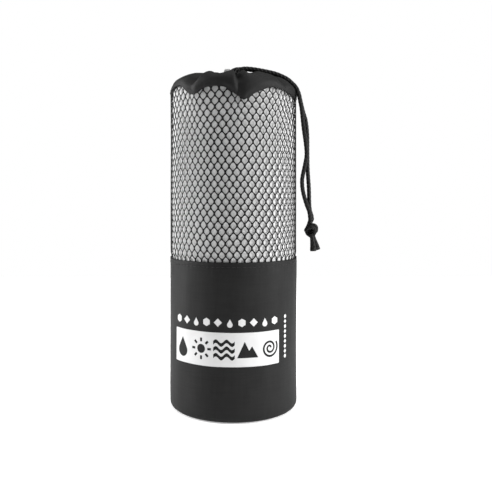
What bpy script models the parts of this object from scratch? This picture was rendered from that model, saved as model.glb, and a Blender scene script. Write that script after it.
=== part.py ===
"""Quick dry towel: a folded and rolled microfibre towel inside its nylon and net drawstring pouch.

The pouch stands on its base with the printed side towards -Y and the free ends of its drawcord
hanging on the +X side. Sizes are in metres, +Z is up, and the origin is the middle of the base.
"""

import math

import bmesh
import bpy
from mathutils import Matrix, Vector

# ---- driving sizes ------------------------------------------------------------------------------
GAP = 0.0003  # between pieces that touch or are sewn together
CLOTH = 0.0006  # thickness of every cloth and tape
POUCH_RADIUS = 0.0400  # outside of the nylon and the net
BASE_CORNER = 0.0025  # radius where the nylon turns under the base
BASE_TURN_UNDER = 0.0028  # how far the base disc's edge lies inside the pouch's outside
WAIST_Z = 0.0924  # seam between the nylon and the net
SHOULDER = 0.0105  # radius where the casing turns from the wall to the top
SHOULDER_RISE = 0.0035  # straight wall of the casing below that turn
BINDING_WIDTH = 0.0070  # tape over a round seam
BASE_BINDING_WIDTH = 0.0050
SIDE_BINDING_WIDTH = 0.0080
CORD_DIAMETER = 0.0026
CHANNEL_CLEARANCE = 0.0004  # around the cord in its channel
MOUTH_RADIUS = 0.0140  # of the drawn-up mouth
CORD_INSET = 0.0029  # from the mouth's edge to the cord's centre line
PLEATS = 10  # folds round the drawn-up casing
PLEAT_DEPTH = 0.0016
CREASE_ANGLE = math.radians(-90)  # the front fold, where the cord comes out
LEAN = 0.08  # how much the top sinks per metre towards the cord's side
LEAN_LIMIT = 0.012  # the other side rises no further than this far out
EXIT_CLEARANCE = 0.0006  # round the cord's two ends in the slit that they come out of
EXIT_OFFSET = 0.0003  # the slit's middle lies this far outside the cord's ring
TOWEL_FOLDED_WIDTH = 0.1945  # 0.80 m wide, folded in four
TOWEL_LENGTH = 1.60
TURN_GAP = 0.00025  # between one turn of the rolled towel and the next
TOWEL_CORE_RADIUS = 0.0030  # of the hole in the middle of the roll
TOWEL_END_ANGLE = math.radians(60)  # where the towel's outer end lies
LAST_TURN_RISE = 0.2  # share of the last turn in which it springs out to the pouch
LOOP_TAPE_WIDTH = 0.0050
LOOP_TAPE = 0.0008
LOOP_SPREAD = 0.0016  # between the legs of the flattened hanging loop
LOOP_PLACE = (-0.0037, -0.0098)
LOOP_RISE = 0.0135  # how far the hanging loop stands above the towel
PRINT_THICKNESS = 0.0002
PRINT_HEIGHT = 0.0197
PRINT_BOTTOM_Z = 0.0327
PRINT_ANGLES = (math.radians(-148), math.radians(-48))
KNOT_CENTRE = (0.0483, -0.0101, 0.1102)
KNOT_SIZE = (0.0088, 0.0076, 0.0098)
SWING_PIVOT = (0.0389, -0.0114, 0.1980)  # where the cord bends over the shoulder
KNOT_PIVOT = (0.0483, -0.0101, 0.1160)
TURN_STEPS = 48  # facets round the pouch
ROLL_STEPS = 24  # facets round one turn of the rolled towel

# ---- sizes that follow --------------------------------------------------------------------------
CORD_RADIUS = CORD_DIAMETER / 2
WALL_INSIDE = POUCH_RADIUS - CLOTH
BINDING_OUTSIDE = WALL_INSIDE - GAP
BINDING_INSIDE = BINDING_OUTSIDE - CLOTH
TOWEL_RADIUS = BINDING_INSIDE - GAP
TOWEL_BOTTOM_Z = CLOTH + 2 * GAP
TOWEL_TOP_Z = TOWEL_BOTTOM_Z + TOWEL_FOLDED_WIDTH
TOWEL_PITCH = math.pi * (TOWEL_RADIUS**2 - TOWEL_CORE_RADIUS**2) / TOWEL_LENGTH
TOWEL_LAYERS = TOWEL_PITCH - TURN_GAP  # thickness of the four layers together
LOOP_TOP_Z = TOWEL_TOP_Z + LOOP_RISE
HEM_Z = TOWEL_TOP_Z + GAP - SHOULDER_RISE  # seam between the net and the cord casing
SHOULDER_CENTRE = (POUCH_RADIUS - SHOULDER, HEM_Z + SHOULDER_RISE)
TOP_Z = SHOULDER_CENTRE[1] + SHOULDER
CHANNEL_RADIUS = CORD_RADIUS + CHANNEL_CLEARANCE
LIP_RADIUS = CHANNEL_RADIUS + CLOTH
LIP_CENTRE = (MOUTH_RADIUS + LIP_RADIUS, TOP_Z - LIP_RADIUS)
CORD_RING_RADIUS = MOUTH_RADIUS + CORD_INSET
EXIT_LENGTH = 4 * CORD_DIAMETER + 2 * EXIT_CLEARANCE
EXIT_WIDTH = 2 * CORD_DIAMETER + EXIT_CLEARANCE
BASE_BINDING_Z = BASE_CORNER + GAP
WAIST_BINDING_Z = WAIST_Z - BINDING_WIDTH / 2
CASING_BINDING_TOP_Z = HEM_Z + 0.0020
FOLD_START_Z = SHOULDER_CENTRE[1] - GAP
FOLD_RISE = 0.0048

# The free ends of the cord. The first two routes run from the slit over the top, the next two hang
# from the shoulder to the knot, and the tails stand out below it.
FRONT_TOP = [
    (0.0019, -0.0175, 0.2061),
    (0.0020, -0.0175, 0.2074),
    (0.0046, -0.0172, 0.2088),
    (0.0113, -0.0165, 0.2087),
    (0.0187, -0.0159, 0.2076),
    (0.0261, -0.0151, 0.2060),
    (0.0325, -0.0141, 0.2034),
    (0.0360, -0.0132, 0.2008),
    (0.0385, -0.0128, 0.1982),
]
REAR_TOP = [
    (-0.0019, -0.0161, 0.2061),
    (-0.0018, -0.0160, 0.2074),
    (0.0010, -0.0143, 0.2092),
    (0.0085, -0.0135, 0.2090),
    (0.0160, -0.0129, 0.2080),
    (0.0240, -0.0122, 0.2063),
    (0.0315, -0.0112, 0.2037),
    (0.0359, -0.0102, 0.2013),
    (0.0389, -0.0099, 0.1985),
]
FRONT_FALL = [
    (0.0388, -0.0128, 0.1977),
    (0.0402, -0.0125, 0.1944),
    (0.0412, -0.0121, 0.1900),
    (0.0422, -0.0118, 0.1849),
    (0.0434, -0.0116, 0.1737),
    (0.0448, -0.0115, 0.1637),
    (0.0453, -0.0115, 0.1569),
    (0.0445, -0.0115, 0.1513),
    (0.0428, -0.0115, 0.1432),
    (0.0425, -0.0115, 0.1388),
    (0.0432, -0.0115, 0.1332),
    (0.0451, -0.0115, 0.1264),
    (0.0469, -0.0115, 0.1215),
    (0.0475, -0.0115, 0.1172),
]
REAR_FALL = [
    (0.0392, -0.0099, 0.1980),
    (0.0407, -0.0095, 0.1947),
    (0.0417, -0.0091, 0.1905),
    (0.0434, -0.0089, 0.1836),
    (0.0451, -0.0087, 0.1777),
    (0.0460, -0.0086, 0.1687),
    (0.0461, -0.0086, 0.1569),
    (0.0463, -0.0086, 0.1469),
    (0.0470, -0.0086, 0.1364),
    (0.0474, -0.0086, 0.1240),
    (0.0486, -0.0087, 0.1190),
    (0.0489, -0.0087, 0.1172),
]
FRONT_TAIL = [
    (0.0486, -0.0115, 0.1049),
    (0.0490, -0.0115, 0.1010),
    (0.0490, -0.0115, 0.0970),
]
REAR_TAIL = [
    (0.0502, -0.0086, 0.1049),
    (0.0518, -0.0086, 0.1012),
    (0.0530, -0.0086, 0.0976),
]


def smooth_step(t):
    """Eases from 0 to 1 while t goes from 0 to 1."""
    t = min(1.0, max(0.0, t))
    return t * t * (3 - 2 * t)


def gathered(point):
    """Moves a point of the evenly turned casing into its folds and its lean to the cord's side."""
    x, y, z = point
    radius = math.hypot(x, y)
    angle = math.atan2(y, x)
    valley = 0.5 + 0.5 * math.cos(PLEATS * (angle - CREASE_ANGLE))
    sink = PLEAT_DEPTH * valley + LEAN * max(-LEAN_LIMIT, x)
    sink *= smooth_step((z - FOLD_START_Z) / FOLD_RISE)
    inward = Vector((min(0.0, SHOULDER_CENTRE[0] - radius), SHOULDER_CENTRE[1] - z)).normalized()
    scale = 1 + inward.x * sink / radius
    return Vector((x * scale, y * scale, z + inward.y * sink))


def smooth_route(points, spacing):
    """Points about the spacing apart on a smooth curve through the route's points."""
    route = [Vector(p) for p in points]
    route = [2 * route[0] - route[1], *route, 2 * route[-1] - route[-2]]
    found = []
    for before, start, end, after in zip(route, route[1:], route[2:], route[3:]):
        steps = max(1, round((end - start).length / spacing))
        for step in range(steps):
            t = step / steps
            found.append(
                0.5
                * (
                    2 * start
                    + (end - before) * t
                    + (2 * before - 5 * start + 4 * end - after) * t**2
                    + (3 * start - before - 3 * end + after) * t**3
                )
            )
    return found + [route[-2]]


def material(name, colour, roughness):
    """A Principled material of one plain colour."""
    made = bpy.data.materials.new(name)
    made.use_nodes = True
    shader = made.node_tree.nodes["Principled BSDF"]
    shader.inputs["Base Color"].default_value = (*colour, 1)
    shader.inputs["Roughness"].default_value = roughness
    shader.inputs["Metallic"].default_value = 0.0
    return made


def add(name, data, look, collection, parent=None):
    """Puts one named object with its material into the collection."""
    data.materials.append(look)
    piece = bpy.data.objects.new(name, data)
    piece.parent = parent
    collection.objects.link(piece)
    return piece


def pivot(name, place, collection, parent=None):
    """An empty on a joint's axis, which the joint's moving pieces hang from."""
    empty = bpy.data.objects.new(name, None)
    empty.empty_display_size = 0.01
    empty.parent = parent
    empty.location = Vector(place) - (parent.location if parent else Vector())
    collection.objects.link(empty)
    return empty


def arc(centre, radius, start, end, steps=6):
    """Points of a circular arc, with its angles in degrees."""
    angles = [math.radians(start + (end - start) * step / steps) for step in range(steps + 1)]
    return [(centre[0] + radius * math.cos(a), centre[1] + radius * math.sin(a)) for a in angles]


def turned(name, profile, look, collection, closed=True):
    """A shape turned about Z from a profile of (radius, height) that runs down its outer side."""
    mesh = bpy.data.meshes.new(name)
    edges = [(k, k + 1) for k in range(len(profile) - 1)]
    if closed:
        edges.append((len(profile) - 1, 0))
    mesh.from_pydata([(r, 0, z) for r, z in profile], edges, [])
    piece = add(name, mesh, look, collection)
    screw = piece.modifiers.new("turn", "SCREW")
    screw.steps = screw.render_steps = TURN_STEPS
    screw.use_merge_vertices = True
    screw.merge_threshold = 0.00001
    screw.use_smooth_shade = True
    return piece


def ring(name, inside, outside, bottom, top, look, collection):
    """A plain ring of tape or cloth."""
    profile = [(outside, top), (outside, bottom), (inside, bottom), (inside, top)]
    return turned(name, profile, look, collection)


def flat_outline(name, outline, height, look, collection, parent=None):
    """A flat closed outline, made solid by its height along local Z."""
    curve = bpy.data.curves.new(name, "CURVE")
    curve.dimensions = "2D"
    curve.fill_mode = "BOTH"
    curve.extrude = height / 2
    spline = curve.splines.new("POLY")
    spline.points.add(len(outline) - 1)
    for point, (x, y) in zip(spline.points, outline):
        point.co = (x, y, 0, 1)
    spline.use_cyclic_u = True
    return add(name, curve, look, collection, parent)


def wall_strip(name, inside, outside, angles, bottom, top, look, collection):
    """A strip that lies round part of the wall, between two angles."""
    degrees = [math.degrees(a) for a in angles]
    steps = max(2, round((degrees[1] - degrees[0]) / 4))
    outline = arc((0, 0), outside, *degrees, steps) + arc((0, 0), inside, *reversed(degrees), steps)
    piece = flat_outline(name, outline, top - bottom, look, collection)
    piece.location.z = (top + bottom) / 2
    return piece


def tube(name, points, look, collection, parent=None):
    """A length of cord along the points, which are in world coordinates."""
    origin = parent.matrix_world.translation if parent else Vector()
    curve = bpy.data.curves.new(name, "CURVE")
    curve.dimensions = "3D"
    curve.bevel_depth = CORD_RADIUS
    curve.bevel_resolution = 2
    curve.use_fill_caps = True
    spline = curve.splines.new("POLY")
    spline.points.add(len(points) - 1)
    for point, place in zip(spline.points, points):
        point.co = (*(Vector(place) - origin), 1)
    return add(name, curve, look, collection, parent)


def base(looks, collection):
    """The flat base disc and the tape over its seam."""
    edge = POUCH_RADIUS - BASE_TURN_UNDER
    profile = [(0, CLOTH), (edge, CLOTH), (edge, 0), (0, 0)]
    turned("base_disc", profile, looks["nylon"], collection, closed=False)
    ring(
        "base_binding",
        BINDING_INSIDE,
        BINDING_OUTSIDE,
        BASE_BINDING_Z,
        BASE_BINDING_Z + BASE_BINDING_WIDTH,
        looks["tape"],
        collection,
    )


def wall(looks, collection):
    """The nylon body, the net above it, and the tapes over their seams."""
    corner = (POUCH_RADIUS - BASE_CORNER, BASE_CORNER)
    profile = [(POUCH_RADIUS, WAIST_Z)]
    profile += arc(corner, BASE_CORNER, 0, -90, 5)
    profile += arc(corner, BASE_CORNER - CLOTH, -90, 0, 5)
    profile += [(WALL_INSIDE, WAIST_Z)]
    turned("body_panel", profile, looks["nylon"], collection)
    net = (WAIST_Z + GAP, HEM_Z - GAP)
    ring("mesh_panel", WALL_INSIDE, POUCH_RADIUS, *net, looks["net"], collection)
    waist = (WAIST_BINDING_Z, WAIST_BINDING_Z + BINDING_WIDTH)
    hem = (CASING_BINDING_TOP_Z - BINDING_WIDTH, CASING_BINDING_TOP_Z)
    tape = (BINDING_INSIDE, BINDING_OUTSIDE)
    ring("waist_binding", *tape, *waist, looks["tape"], collection)
    ring("casing_binding", *tape, *hem, looks["tape"], collection)
    reach = SIDE_BINDING_WIDTH / 2 / BINDING_OUTSIDE
    back = (math.pi / 2 - reach, math.pi / 2 + reach)
    lower = (BASE_BINDING_Z + BASE_BINDING_WIDTH + GAP, waist[0] - GAP)
    upper = (waist[1] + GAP, hem[0] - GAP)
    wall_strip("side_binding_lower", *tape, back, *lower, looks["tape"], collection)
    wall_strip("side_binding_upper", *tape, back, *upper, looks["tape"], collection)
    outside = (POUCH_RADIUS + GAP, POUCH_RADIUS + GAP + PRINT_THICKNESS)
    block = (PRINT_BOTTOM_Z, PRINT_BOTTOM_Z + PRINT_HEIGHT)
    wall_strip("print_block", *outside, PRINT_ANGLES, *block, looks["print"], collection)


def casing(looks, collection, cutters):
    """The doubled strip of nylon that is drawn up round the mouth, with the cord's slit."""
    lip, shoulder = LIP_CENTRE, SHOULDER_CENTRE
    mid = (lip[0] + shoulder[0]) / 2
    outer_face = POUCH_RADIUS
    faces = [SHOULDER, SHOULDER - CLOTH, SHOULDER - CLOTH - GAP, SHOULDER - 2 * CLOTH - GAP]
    profile = arc(shoulder, faces[0], 90, 0)
    profile += [(outer_face, HEM_Z), (WALL_INSIDE, HEM_Z)]
    profile += arc(shoulder, faces[1], 0, 90)
    profile += [(mid, TOP_Z - CLOTH)]
    profile += arc(lip, CHANNEL_RADIUS, 90, 270)
    profile += arc(shoulder, faces[2], 90, 0)
    profile += [(BINDING_OUTSIDE, CASING_BINDING_TOP_Z + GAP), (BINDING_INSIDE, CASING_BINDING_TOP_Z + GAP)]
    profile += arc(shoulder, faces[3], 0, 90)
    profile += arc(lip, LIP_RADIUS, 270, 90)
    profile += [(mid, TOP_Z)]
    turning = turned("casing_turning", profile, looks["nylon"], collection)
    mesh = bpy.data.meshes.new_from_object(turning.evaluated_get(bpy.context.evaluated_depsgraph_get()))
    bpy.data.objects.remove(turning)
    mesh.materials.clear()
    for vertex in mesh.vertices:
        vertex.co = gathered(vertex.co)
    piece = add("casing", mesh, looks["nylon"], collection)
    cut = piece.modifiers.new("cord_exit", "BOOLEAN")
    cut.solver = "EXACT"
    cut.object = exit_cutter(cutters)


def exit_cutter(cutters):
    """The slit through the casing's upper layer, as a solid oval."""
    mesh = bpy.data.meshes.new("cord_exit_cutter")
    shape = bmesh.new()
    bmesh.ops.create_cone(shape, cap_ends=True, segments=24, radius1=0.5, radius2=0.5, depth=1)
    top = LIP_CENTRE[1] + CORD_RADIUS
    bottom = LIP_CENTRE[1] - PLEAT_DEPTH
    size = Vector((EXIT_LENGTH, EXIT_WIDTH, 2 * (top - bottom)))
    bmesh.ops.scale(shape, vec=size, verts=shape.verts)
    bmesh.ops.translate(shape, vec=(0, -CORD_RING_RADIUS - EXIT_OFFSET, bottom + size.z / 2), verts=shape.verts)
    shape.to_mesh(mesh)
    shape.free()
    cutter = bpy.data.objects.new("cord_exit_cutter", mesh)
    cutter.hide_render = True
    cutter.display_type = "WIRE"
    cutters.objects.link(cutter)
    return cutter


def drawcord(looks, collection):
    """The cord in its channel, its two ends over the top, and the ends that hang to the knot."""
    look = looks["cord"]
    first = 18
    angles = [math.radians(-90 + a) for a in range(first, 361 - first, 12)]
    in_channel = [
        (CORD_RING_RADIUS * math.cos(a), CORD_RING_RADIUS * math.sin(a), LIP_CENTRE[1]) for a in angles
    ]
    rise = [(0.0019, 0.0026), (0.0021, 0.0019), (0.0028, 0.0010), (0.0041, 0.0003)]
    turn_up = [(x, FRONT_TOP[0][1], LIP_CENTRE[1] + up) for x, up in rise]
    turn_down = [(-x, REAR_TOP[0][1], LIP_CENTRE[1] + up) for x, up in rise]
    path = [*turn_up, *in_channel, *reversed(turn_down)]
    tube("drawcord_ring", [gathered(p) for p in path], look, collection)
    tube("drawcord_top_front", smooth_route(FRONT_TOP, CORD_DIAMETER * 1.5), look, collection)
    tube("drawcord_top_rear", smooth_route(REAR_TOP, CORD_DIAMETER * 1.5), look, collection)
    swing = pivot("drawcord_pivot", SWING_PIVOT, collection)
    sway = pivot("knot_pivot", KNOT_PIVOT, collection, swing)
    bpy.context.view_layer.update()
    tube("drawcord_fall_front", smooth_route(FRONT_FALL, CORD_DIAMETER * 2), look, collection, swing)
    tube("drawcord_fall_rear", smooth_route(REAR_FALL, CORD_DIAMETER * 2), look, collection, swing)
    tube("drawcord_tail_front", smooth_route(FRONT_TAIL, CORD_DIAMETER), look, collection, sway)
    tube("drawcord_tail_rear", smooth_route(REAR_TAIL, CORD_DIAMETER), look, collection, sway)
    mesh = bpy.data.meshes.new("drawcord_knot")
    shape = bmesh.new()
    bmesh.ops.create_uvsphere(shape, u_segments=20, v_segments=12, radius=0.5)
    bmesh.ops.scale(shape, vec=KNOT_SIZE, verts=shape.verts)
    bmesh.ops.translate(shape, vec=Vector(KNOT_CENTRE) - Vector(KNOT_PIVOT), verts=shape.verts)
    shape.to_mesh(mesh)
    shape.free()
    mesh.shade_smooth()
    add("drawcord_knot", mesh, look, collection, sway)


def towel(looks, collection):
    """The folded towel rolled up from its inner end, and the loop that it hangs by."""
    turns = (TOWEL_RADIUS - TOWEL_CORE_RADIUS - TOWEL_LAYERS) / TOWEL_PITCH
    steps = round(turns * ROLL_STEPS)
    outer, inner = [], []
    for step in range(steps + 1):
        turn = turns * step / steps
        last = max(0.0, turn - (turns - 1))
        radius = TOWEL_CORE_RADIUS + TOWEL_PITCH * (turn - last + smooth_step(last / LAST_TURN_RISE))
        way = Vector((1, 0))
        way.rotate(Matrix.Rotation(TOWEL_END_ANGLE + 2 * math.pi * (turn - turns), 2))
        inner.append(way * radius)
        outer.append(way * (radius + TOWEL_LAYERS))
    roll = flat_outline("towel_roll", outer + inner[::-1], TOWEL_FOLDED_WIDTH, looks["towel"], collection)
    roll.location.z = TOWEL_BOTTOM_Z + TOWEL_FOLDED_WIDTH / 2
    foot = TOWEL_TOP_Z + GAP
    bend = LOOP_TOP_Z - LOOP_SPREAD / 2 - LOOP_TAPE
    outline = [(LOOP_SPREAD / 2 + LOOP_TAPE, foot)]
    outline += arc((0, bend), LOOP_SPREAD / 2 + LOOP_TAPE, 0, 180)
    outline += [(-LOOP_SPREAD / 2 - LOOP_TAPE, foot), (-LOOP_SPREAD / 2, foot)]
    outline += arc((0, bend), LOOP_SPREAD / 2, 180, 0)
    outline += [(LOOP_SPREAD / 2, foot)]
    loop = flat_outline("towel_hang_loop", outline, LOOP_TAPE_WIDTH, looks["towel"], collection)
    loop.rotation_euler = (math.pi / 2, 0, math.pi / 2)
    loop.location = (*LOOP_PLACE, 0)


def build():
    """Makes the whole object in an emptied scene."""
    for old in list(bpy.data.objects):
        bpy.data.objects.remove(old)
    collection = bpy.data.collections.new("quick_dry_towel")
    cutters = bpy.data.collections.new("cutters")
    bpy.context.scene.collection.children.link(collection)
    bpy.context.scene.collection.children.link(cutters)
    looks = {
        "nylon": material("black_nylon", (0.035, 0.035, 0.036), 0.55),
        "net": material("black_polyester_net", (0.015, 0.015, 0.015), 0.6),
        "tape": material("black_binding_tape", (0.02, 0.02, 0.02), 0.8),
        "cord": material("black_polyester_cord", (0.012, 0.012, 0.012), 0.7),
        "print": material("white_screen_print", (0.85, 0.85, 0.85), 0.6),
        "towel": material("grey_microfibre", (0.60, 0.60, 0.60), 0.95),
    }
    base(looks, collection)
    wall(looks, collection)
    casing(looks, collection, cutters)
    drawcord(looks, collection)
    towel(looks, collection)


build()
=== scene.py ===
"""The looks of a quick dry towel in its net and nylon drawstring pouch.

A light grey microfibre towel, folded in four and rolled, stands in a black pouch. The nylon body,
the net with open cells, the gathered casing with its folds, the doubled cord with its knot and the
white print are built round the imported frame, each as its own piece.
"""

from __future__ import annotations

import logging
import math
from collections.abc import Callable, Sequence
from dataclasses import dataclass, field
from enum import Enum
from typing import ClassVar

import bmesh
import bpy
from mathutils import Matrix, Vector, noise


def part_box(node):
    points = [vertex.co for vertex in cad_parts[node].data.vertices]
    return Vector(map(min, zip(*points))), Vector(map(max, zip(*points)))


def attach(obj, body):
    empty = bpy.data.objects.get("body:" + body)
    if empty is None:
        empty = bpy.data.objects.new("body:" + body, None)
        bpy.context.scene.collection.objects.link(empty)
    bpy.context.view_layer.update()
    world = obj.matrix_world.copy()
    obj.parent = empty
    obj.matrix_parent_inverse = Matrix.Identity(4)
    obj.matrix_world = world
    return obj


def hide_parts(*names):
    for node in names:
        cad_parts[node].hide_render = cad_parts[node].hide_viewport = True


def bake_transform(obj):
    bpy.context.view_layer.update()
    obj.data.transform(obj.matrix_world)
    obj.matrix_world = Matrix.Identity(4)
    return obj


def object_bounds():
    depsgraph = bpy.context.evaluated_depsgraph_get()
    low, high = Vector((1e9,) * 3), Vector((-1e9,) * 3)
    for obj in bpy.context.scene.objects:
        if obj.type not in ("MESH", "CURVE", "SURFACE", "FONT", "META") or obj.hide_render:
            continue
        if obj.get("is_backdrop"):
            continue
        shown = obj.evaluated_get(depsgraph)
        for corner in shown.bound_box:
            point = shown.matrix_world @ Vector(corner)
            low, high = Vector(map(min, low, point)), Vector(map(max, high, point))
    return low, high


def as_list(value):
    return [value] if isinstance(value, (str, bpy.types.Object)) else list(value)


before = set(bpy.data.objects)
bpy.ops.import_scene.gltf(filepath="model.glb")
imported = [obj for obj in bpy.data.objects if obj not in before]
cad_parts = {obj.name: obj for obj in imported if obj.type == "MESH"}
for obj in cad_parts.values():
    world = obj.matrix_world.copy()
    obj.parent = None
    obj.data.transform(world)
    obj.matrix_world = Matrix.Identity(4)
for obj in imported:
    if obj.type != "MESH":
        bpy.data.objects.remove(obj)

LOG = logging.getLogger("quick_dry_towel")
MM = 0.001
Point = tuple[float, float, float]
Flat = tuple[float, float]


class Body(Enum):
    """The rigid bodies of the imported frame."""

    POUCH = "pouch"
    TOWEL = "towel"
    DRAWCORD = "drawcord"
    KNOT = "knot"


class Slot(Enum):
    """The record's material slots."""

    NYLON = "nylon"
    NET = "net"
    TAPE = "binding_tape"
    CORD = "cord"
    PRINT = "print"
    MICROFIBRE = "microfibre"


# ---- small tools --------------------------------------------------------------------------------


def linear(colour: str) -> tuple[float, float, float, float]:
    """Turns an sRGB hex colour to linear.

    Args:
        colour: Six hex digits after a hash.

    Returns:
        Red, green, blue and an alpha of 1.
    """
    parts = [int(colour[k : k + 2], 16) / 255 for k in (1, 3, 5)]
    return (*(c / 12.92 if c <= 0.04045 else ((c + 0.055) / 1.055) ** 2.4 for c in parts), 1.0)


def smooth_step(value: float) -> float:
    """Eases from 0 to 1 while the value goes from 0 to 1."""
    value = min(1.0, max(0.0, value))
    return value * value * (3 - 2 * value)


def add_node(
    tree: bpy.types.NodeTree, kind: str, settings: dict[str, object], links: dict[str | int, object]
) -> bpy.types.Node:
    """Adds one shader node.

    Args:
        tree: The node tree to add it to.
        kind: The node's type.
        settings: Its attributes, and the values of its unlinked inputs by name.
        links: Which socket feeds each of its inputs, by name or number.

    Returns:
        The node.
    """
    node = tree.nodes.new(kind)
    for name, value in settings.items():
        if hasattr(node, name):
            setattr(node, name, value)
        else:
            node.inputs[name].default_value = value
    for name, socket in links.items():
        tree.links.new(socket, node.inputs[name])
    return node


def deselect() -> None:
    """Leaves nothing selected."""
    if bpy.context.object and bpy.context.object.mode != "OBJECT":
        bpy.ops.object.mode_set(mode="OBJECT")
    bpy.ops.object.select_all(action="DESELECT")


def activate(piece: bpy.types.Object) -> None:
    """Selects one piece alone and makes it the active one.

    Args:
        piece: The piece.
    """
    deselect()
    piece.select_set(True)
    bpy.context.view_layer.objects.active = piece


def named(name: str) -> bpy.types.Object:
    """Gives the piece that an operator just added its name.

    Args:
        name: The name of the piece and of its mesh.

    Returns:
        The piece.
    """
    piece = bpy.context.object
    piece.name = name
    piece.data.name = name
    return piece


def tidy_mesh(piece: bpy.types.Object, merge: float = 1e-6) -> None:
    """Merges a piece's doubles and turns its faces outward.

    Args:
        piece: The mesh piece.
        merge: How near two points are to become one.
    """
    activate(piece)
    bpy.ops.object.mode_set(mode="EDIT")
    bpy.ops.mesh.select_all(action="SELECT")
    bpy.ops.mesh.remove_doubles(threshold=merge)
    bpy.ops.mesh.normals_make_consistent(inside=False)
    bpy.ops.object.mode_set(mode="OBJECT")


def apply_modifier(piece: bpy.types.Object, kind: str, settings: dict[str, object]) -> None:
    """Adds a modifier and applies it.

    Args:
        piece: The mesh piece.
        kind: The modifier's type.
        settings: Its attributes by name.
    """
    activate(piece)
    modifier = piece.modifiers.new(kind.lower(), kind)
    for name, value in settings.items():
        setattr(modifier, name, value)
    bpy.ops.object.modifier_apply(modifier=modifier.name)


def cloth_grid(
    name: str,
    steps: tuple[int, int],
    size: tuple[float, float],
    place: Callable[[float, float], Vector],
) -> bpy.types.Object:
    """A grid of cloth laid on a surface, with its UV map in metres.

    Args:
        name: The piece's name.
        steps: Faces across and along.
        size: The real width and height of the cloth.
        place: Gives the point for a share of the width and of the height.

    Returns:
        The piece, with its edges open.
    """
    deselect()
    bpy.ops.mesh.primitive_grid_add(
        x_subdivisions=steps[0], y_subdivisions=steps[1], size=1, calc_uvs=True
    )
    piece = named(name)
    for vertex in piece.data.vertices:
        vertex.co = place(vertex.co.x + 0.5, vertex.co.y + 0.5)
    for corner in piece.data.uv_layers[0].data:
        corner.uv = (corner.uv.x * size[0], corner.uv.y * size[1])
    piece.data.shade_smooth()
    return piece


def close_ends(piece: bpy.types.Object) -> None:
    """Closes each open end of a tube with one face.

    Args:
        piece: The tube.
    """
    activate(piece)
    shape = bmesh.new()
    shape.from_mesh(piece.data)
    open_edges = [edge for edge in shape.edges if edge.is_boundary]
    bmesh.ops.holes_fill(shape, edges=open_edges, sides=0)
    bmesh.ops.recalc_face_normals(shape, faces=shape.faces)
    shape.to_mesh(piece.data)
    shape.free()


def smooth_route(points: Sequence[Point], spacing: float) -> list[Vector]:
    """Points about the spacing apart on a smooth curve through a route's points.

    Args:
        points: The route, in metres.
        spacing: The distance from one point to the next.

    Returns:
        The curve's points, with both ends of the route.
    """
    route = [Vector(point) for point in points]
    route = [2 * route[0] - route[1], *route, 2 * route[-1] - route[-2]]
    found = []
    for before, start, end, after in zip(route, route[1:], route[2:], route[3:]):
        steps = max(1, round((end - start).length / spacing))
        for step in range(steps):
            t = step / steps
            bend = (2 * before - 5 * start + 4 * end - after) * t**2
            twist = (3 * start - before - 3 * end + after) * t**3
            found.append(0.5 * (2 * start + (end - before) * t + bend + twist))
    return [*found, route[-2]]


def dress(piece: bpy.types.Object, finish: bpy.types.Material, slot: Slot, body: Body) -> None:
    """Gives a piece its looks and its place among the bodies.

    Args:
        piece: The piece.
        finish: Its only material.
        slot: The record's material slot that it belongs to; not used.
        body: The body that it rides on.
    """
    piece.data.materials.clear()
    piece.data.materials.append(finish)
    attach(piece, body.value)


def route_length(points: Sequence[Vector]) -> float:
    """The length along a row of points."""
    return sum((b - a).length for a, b in zip(points, points[1:]))


# ---- finishes -----------------------------------------------------------------------------------


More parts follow.
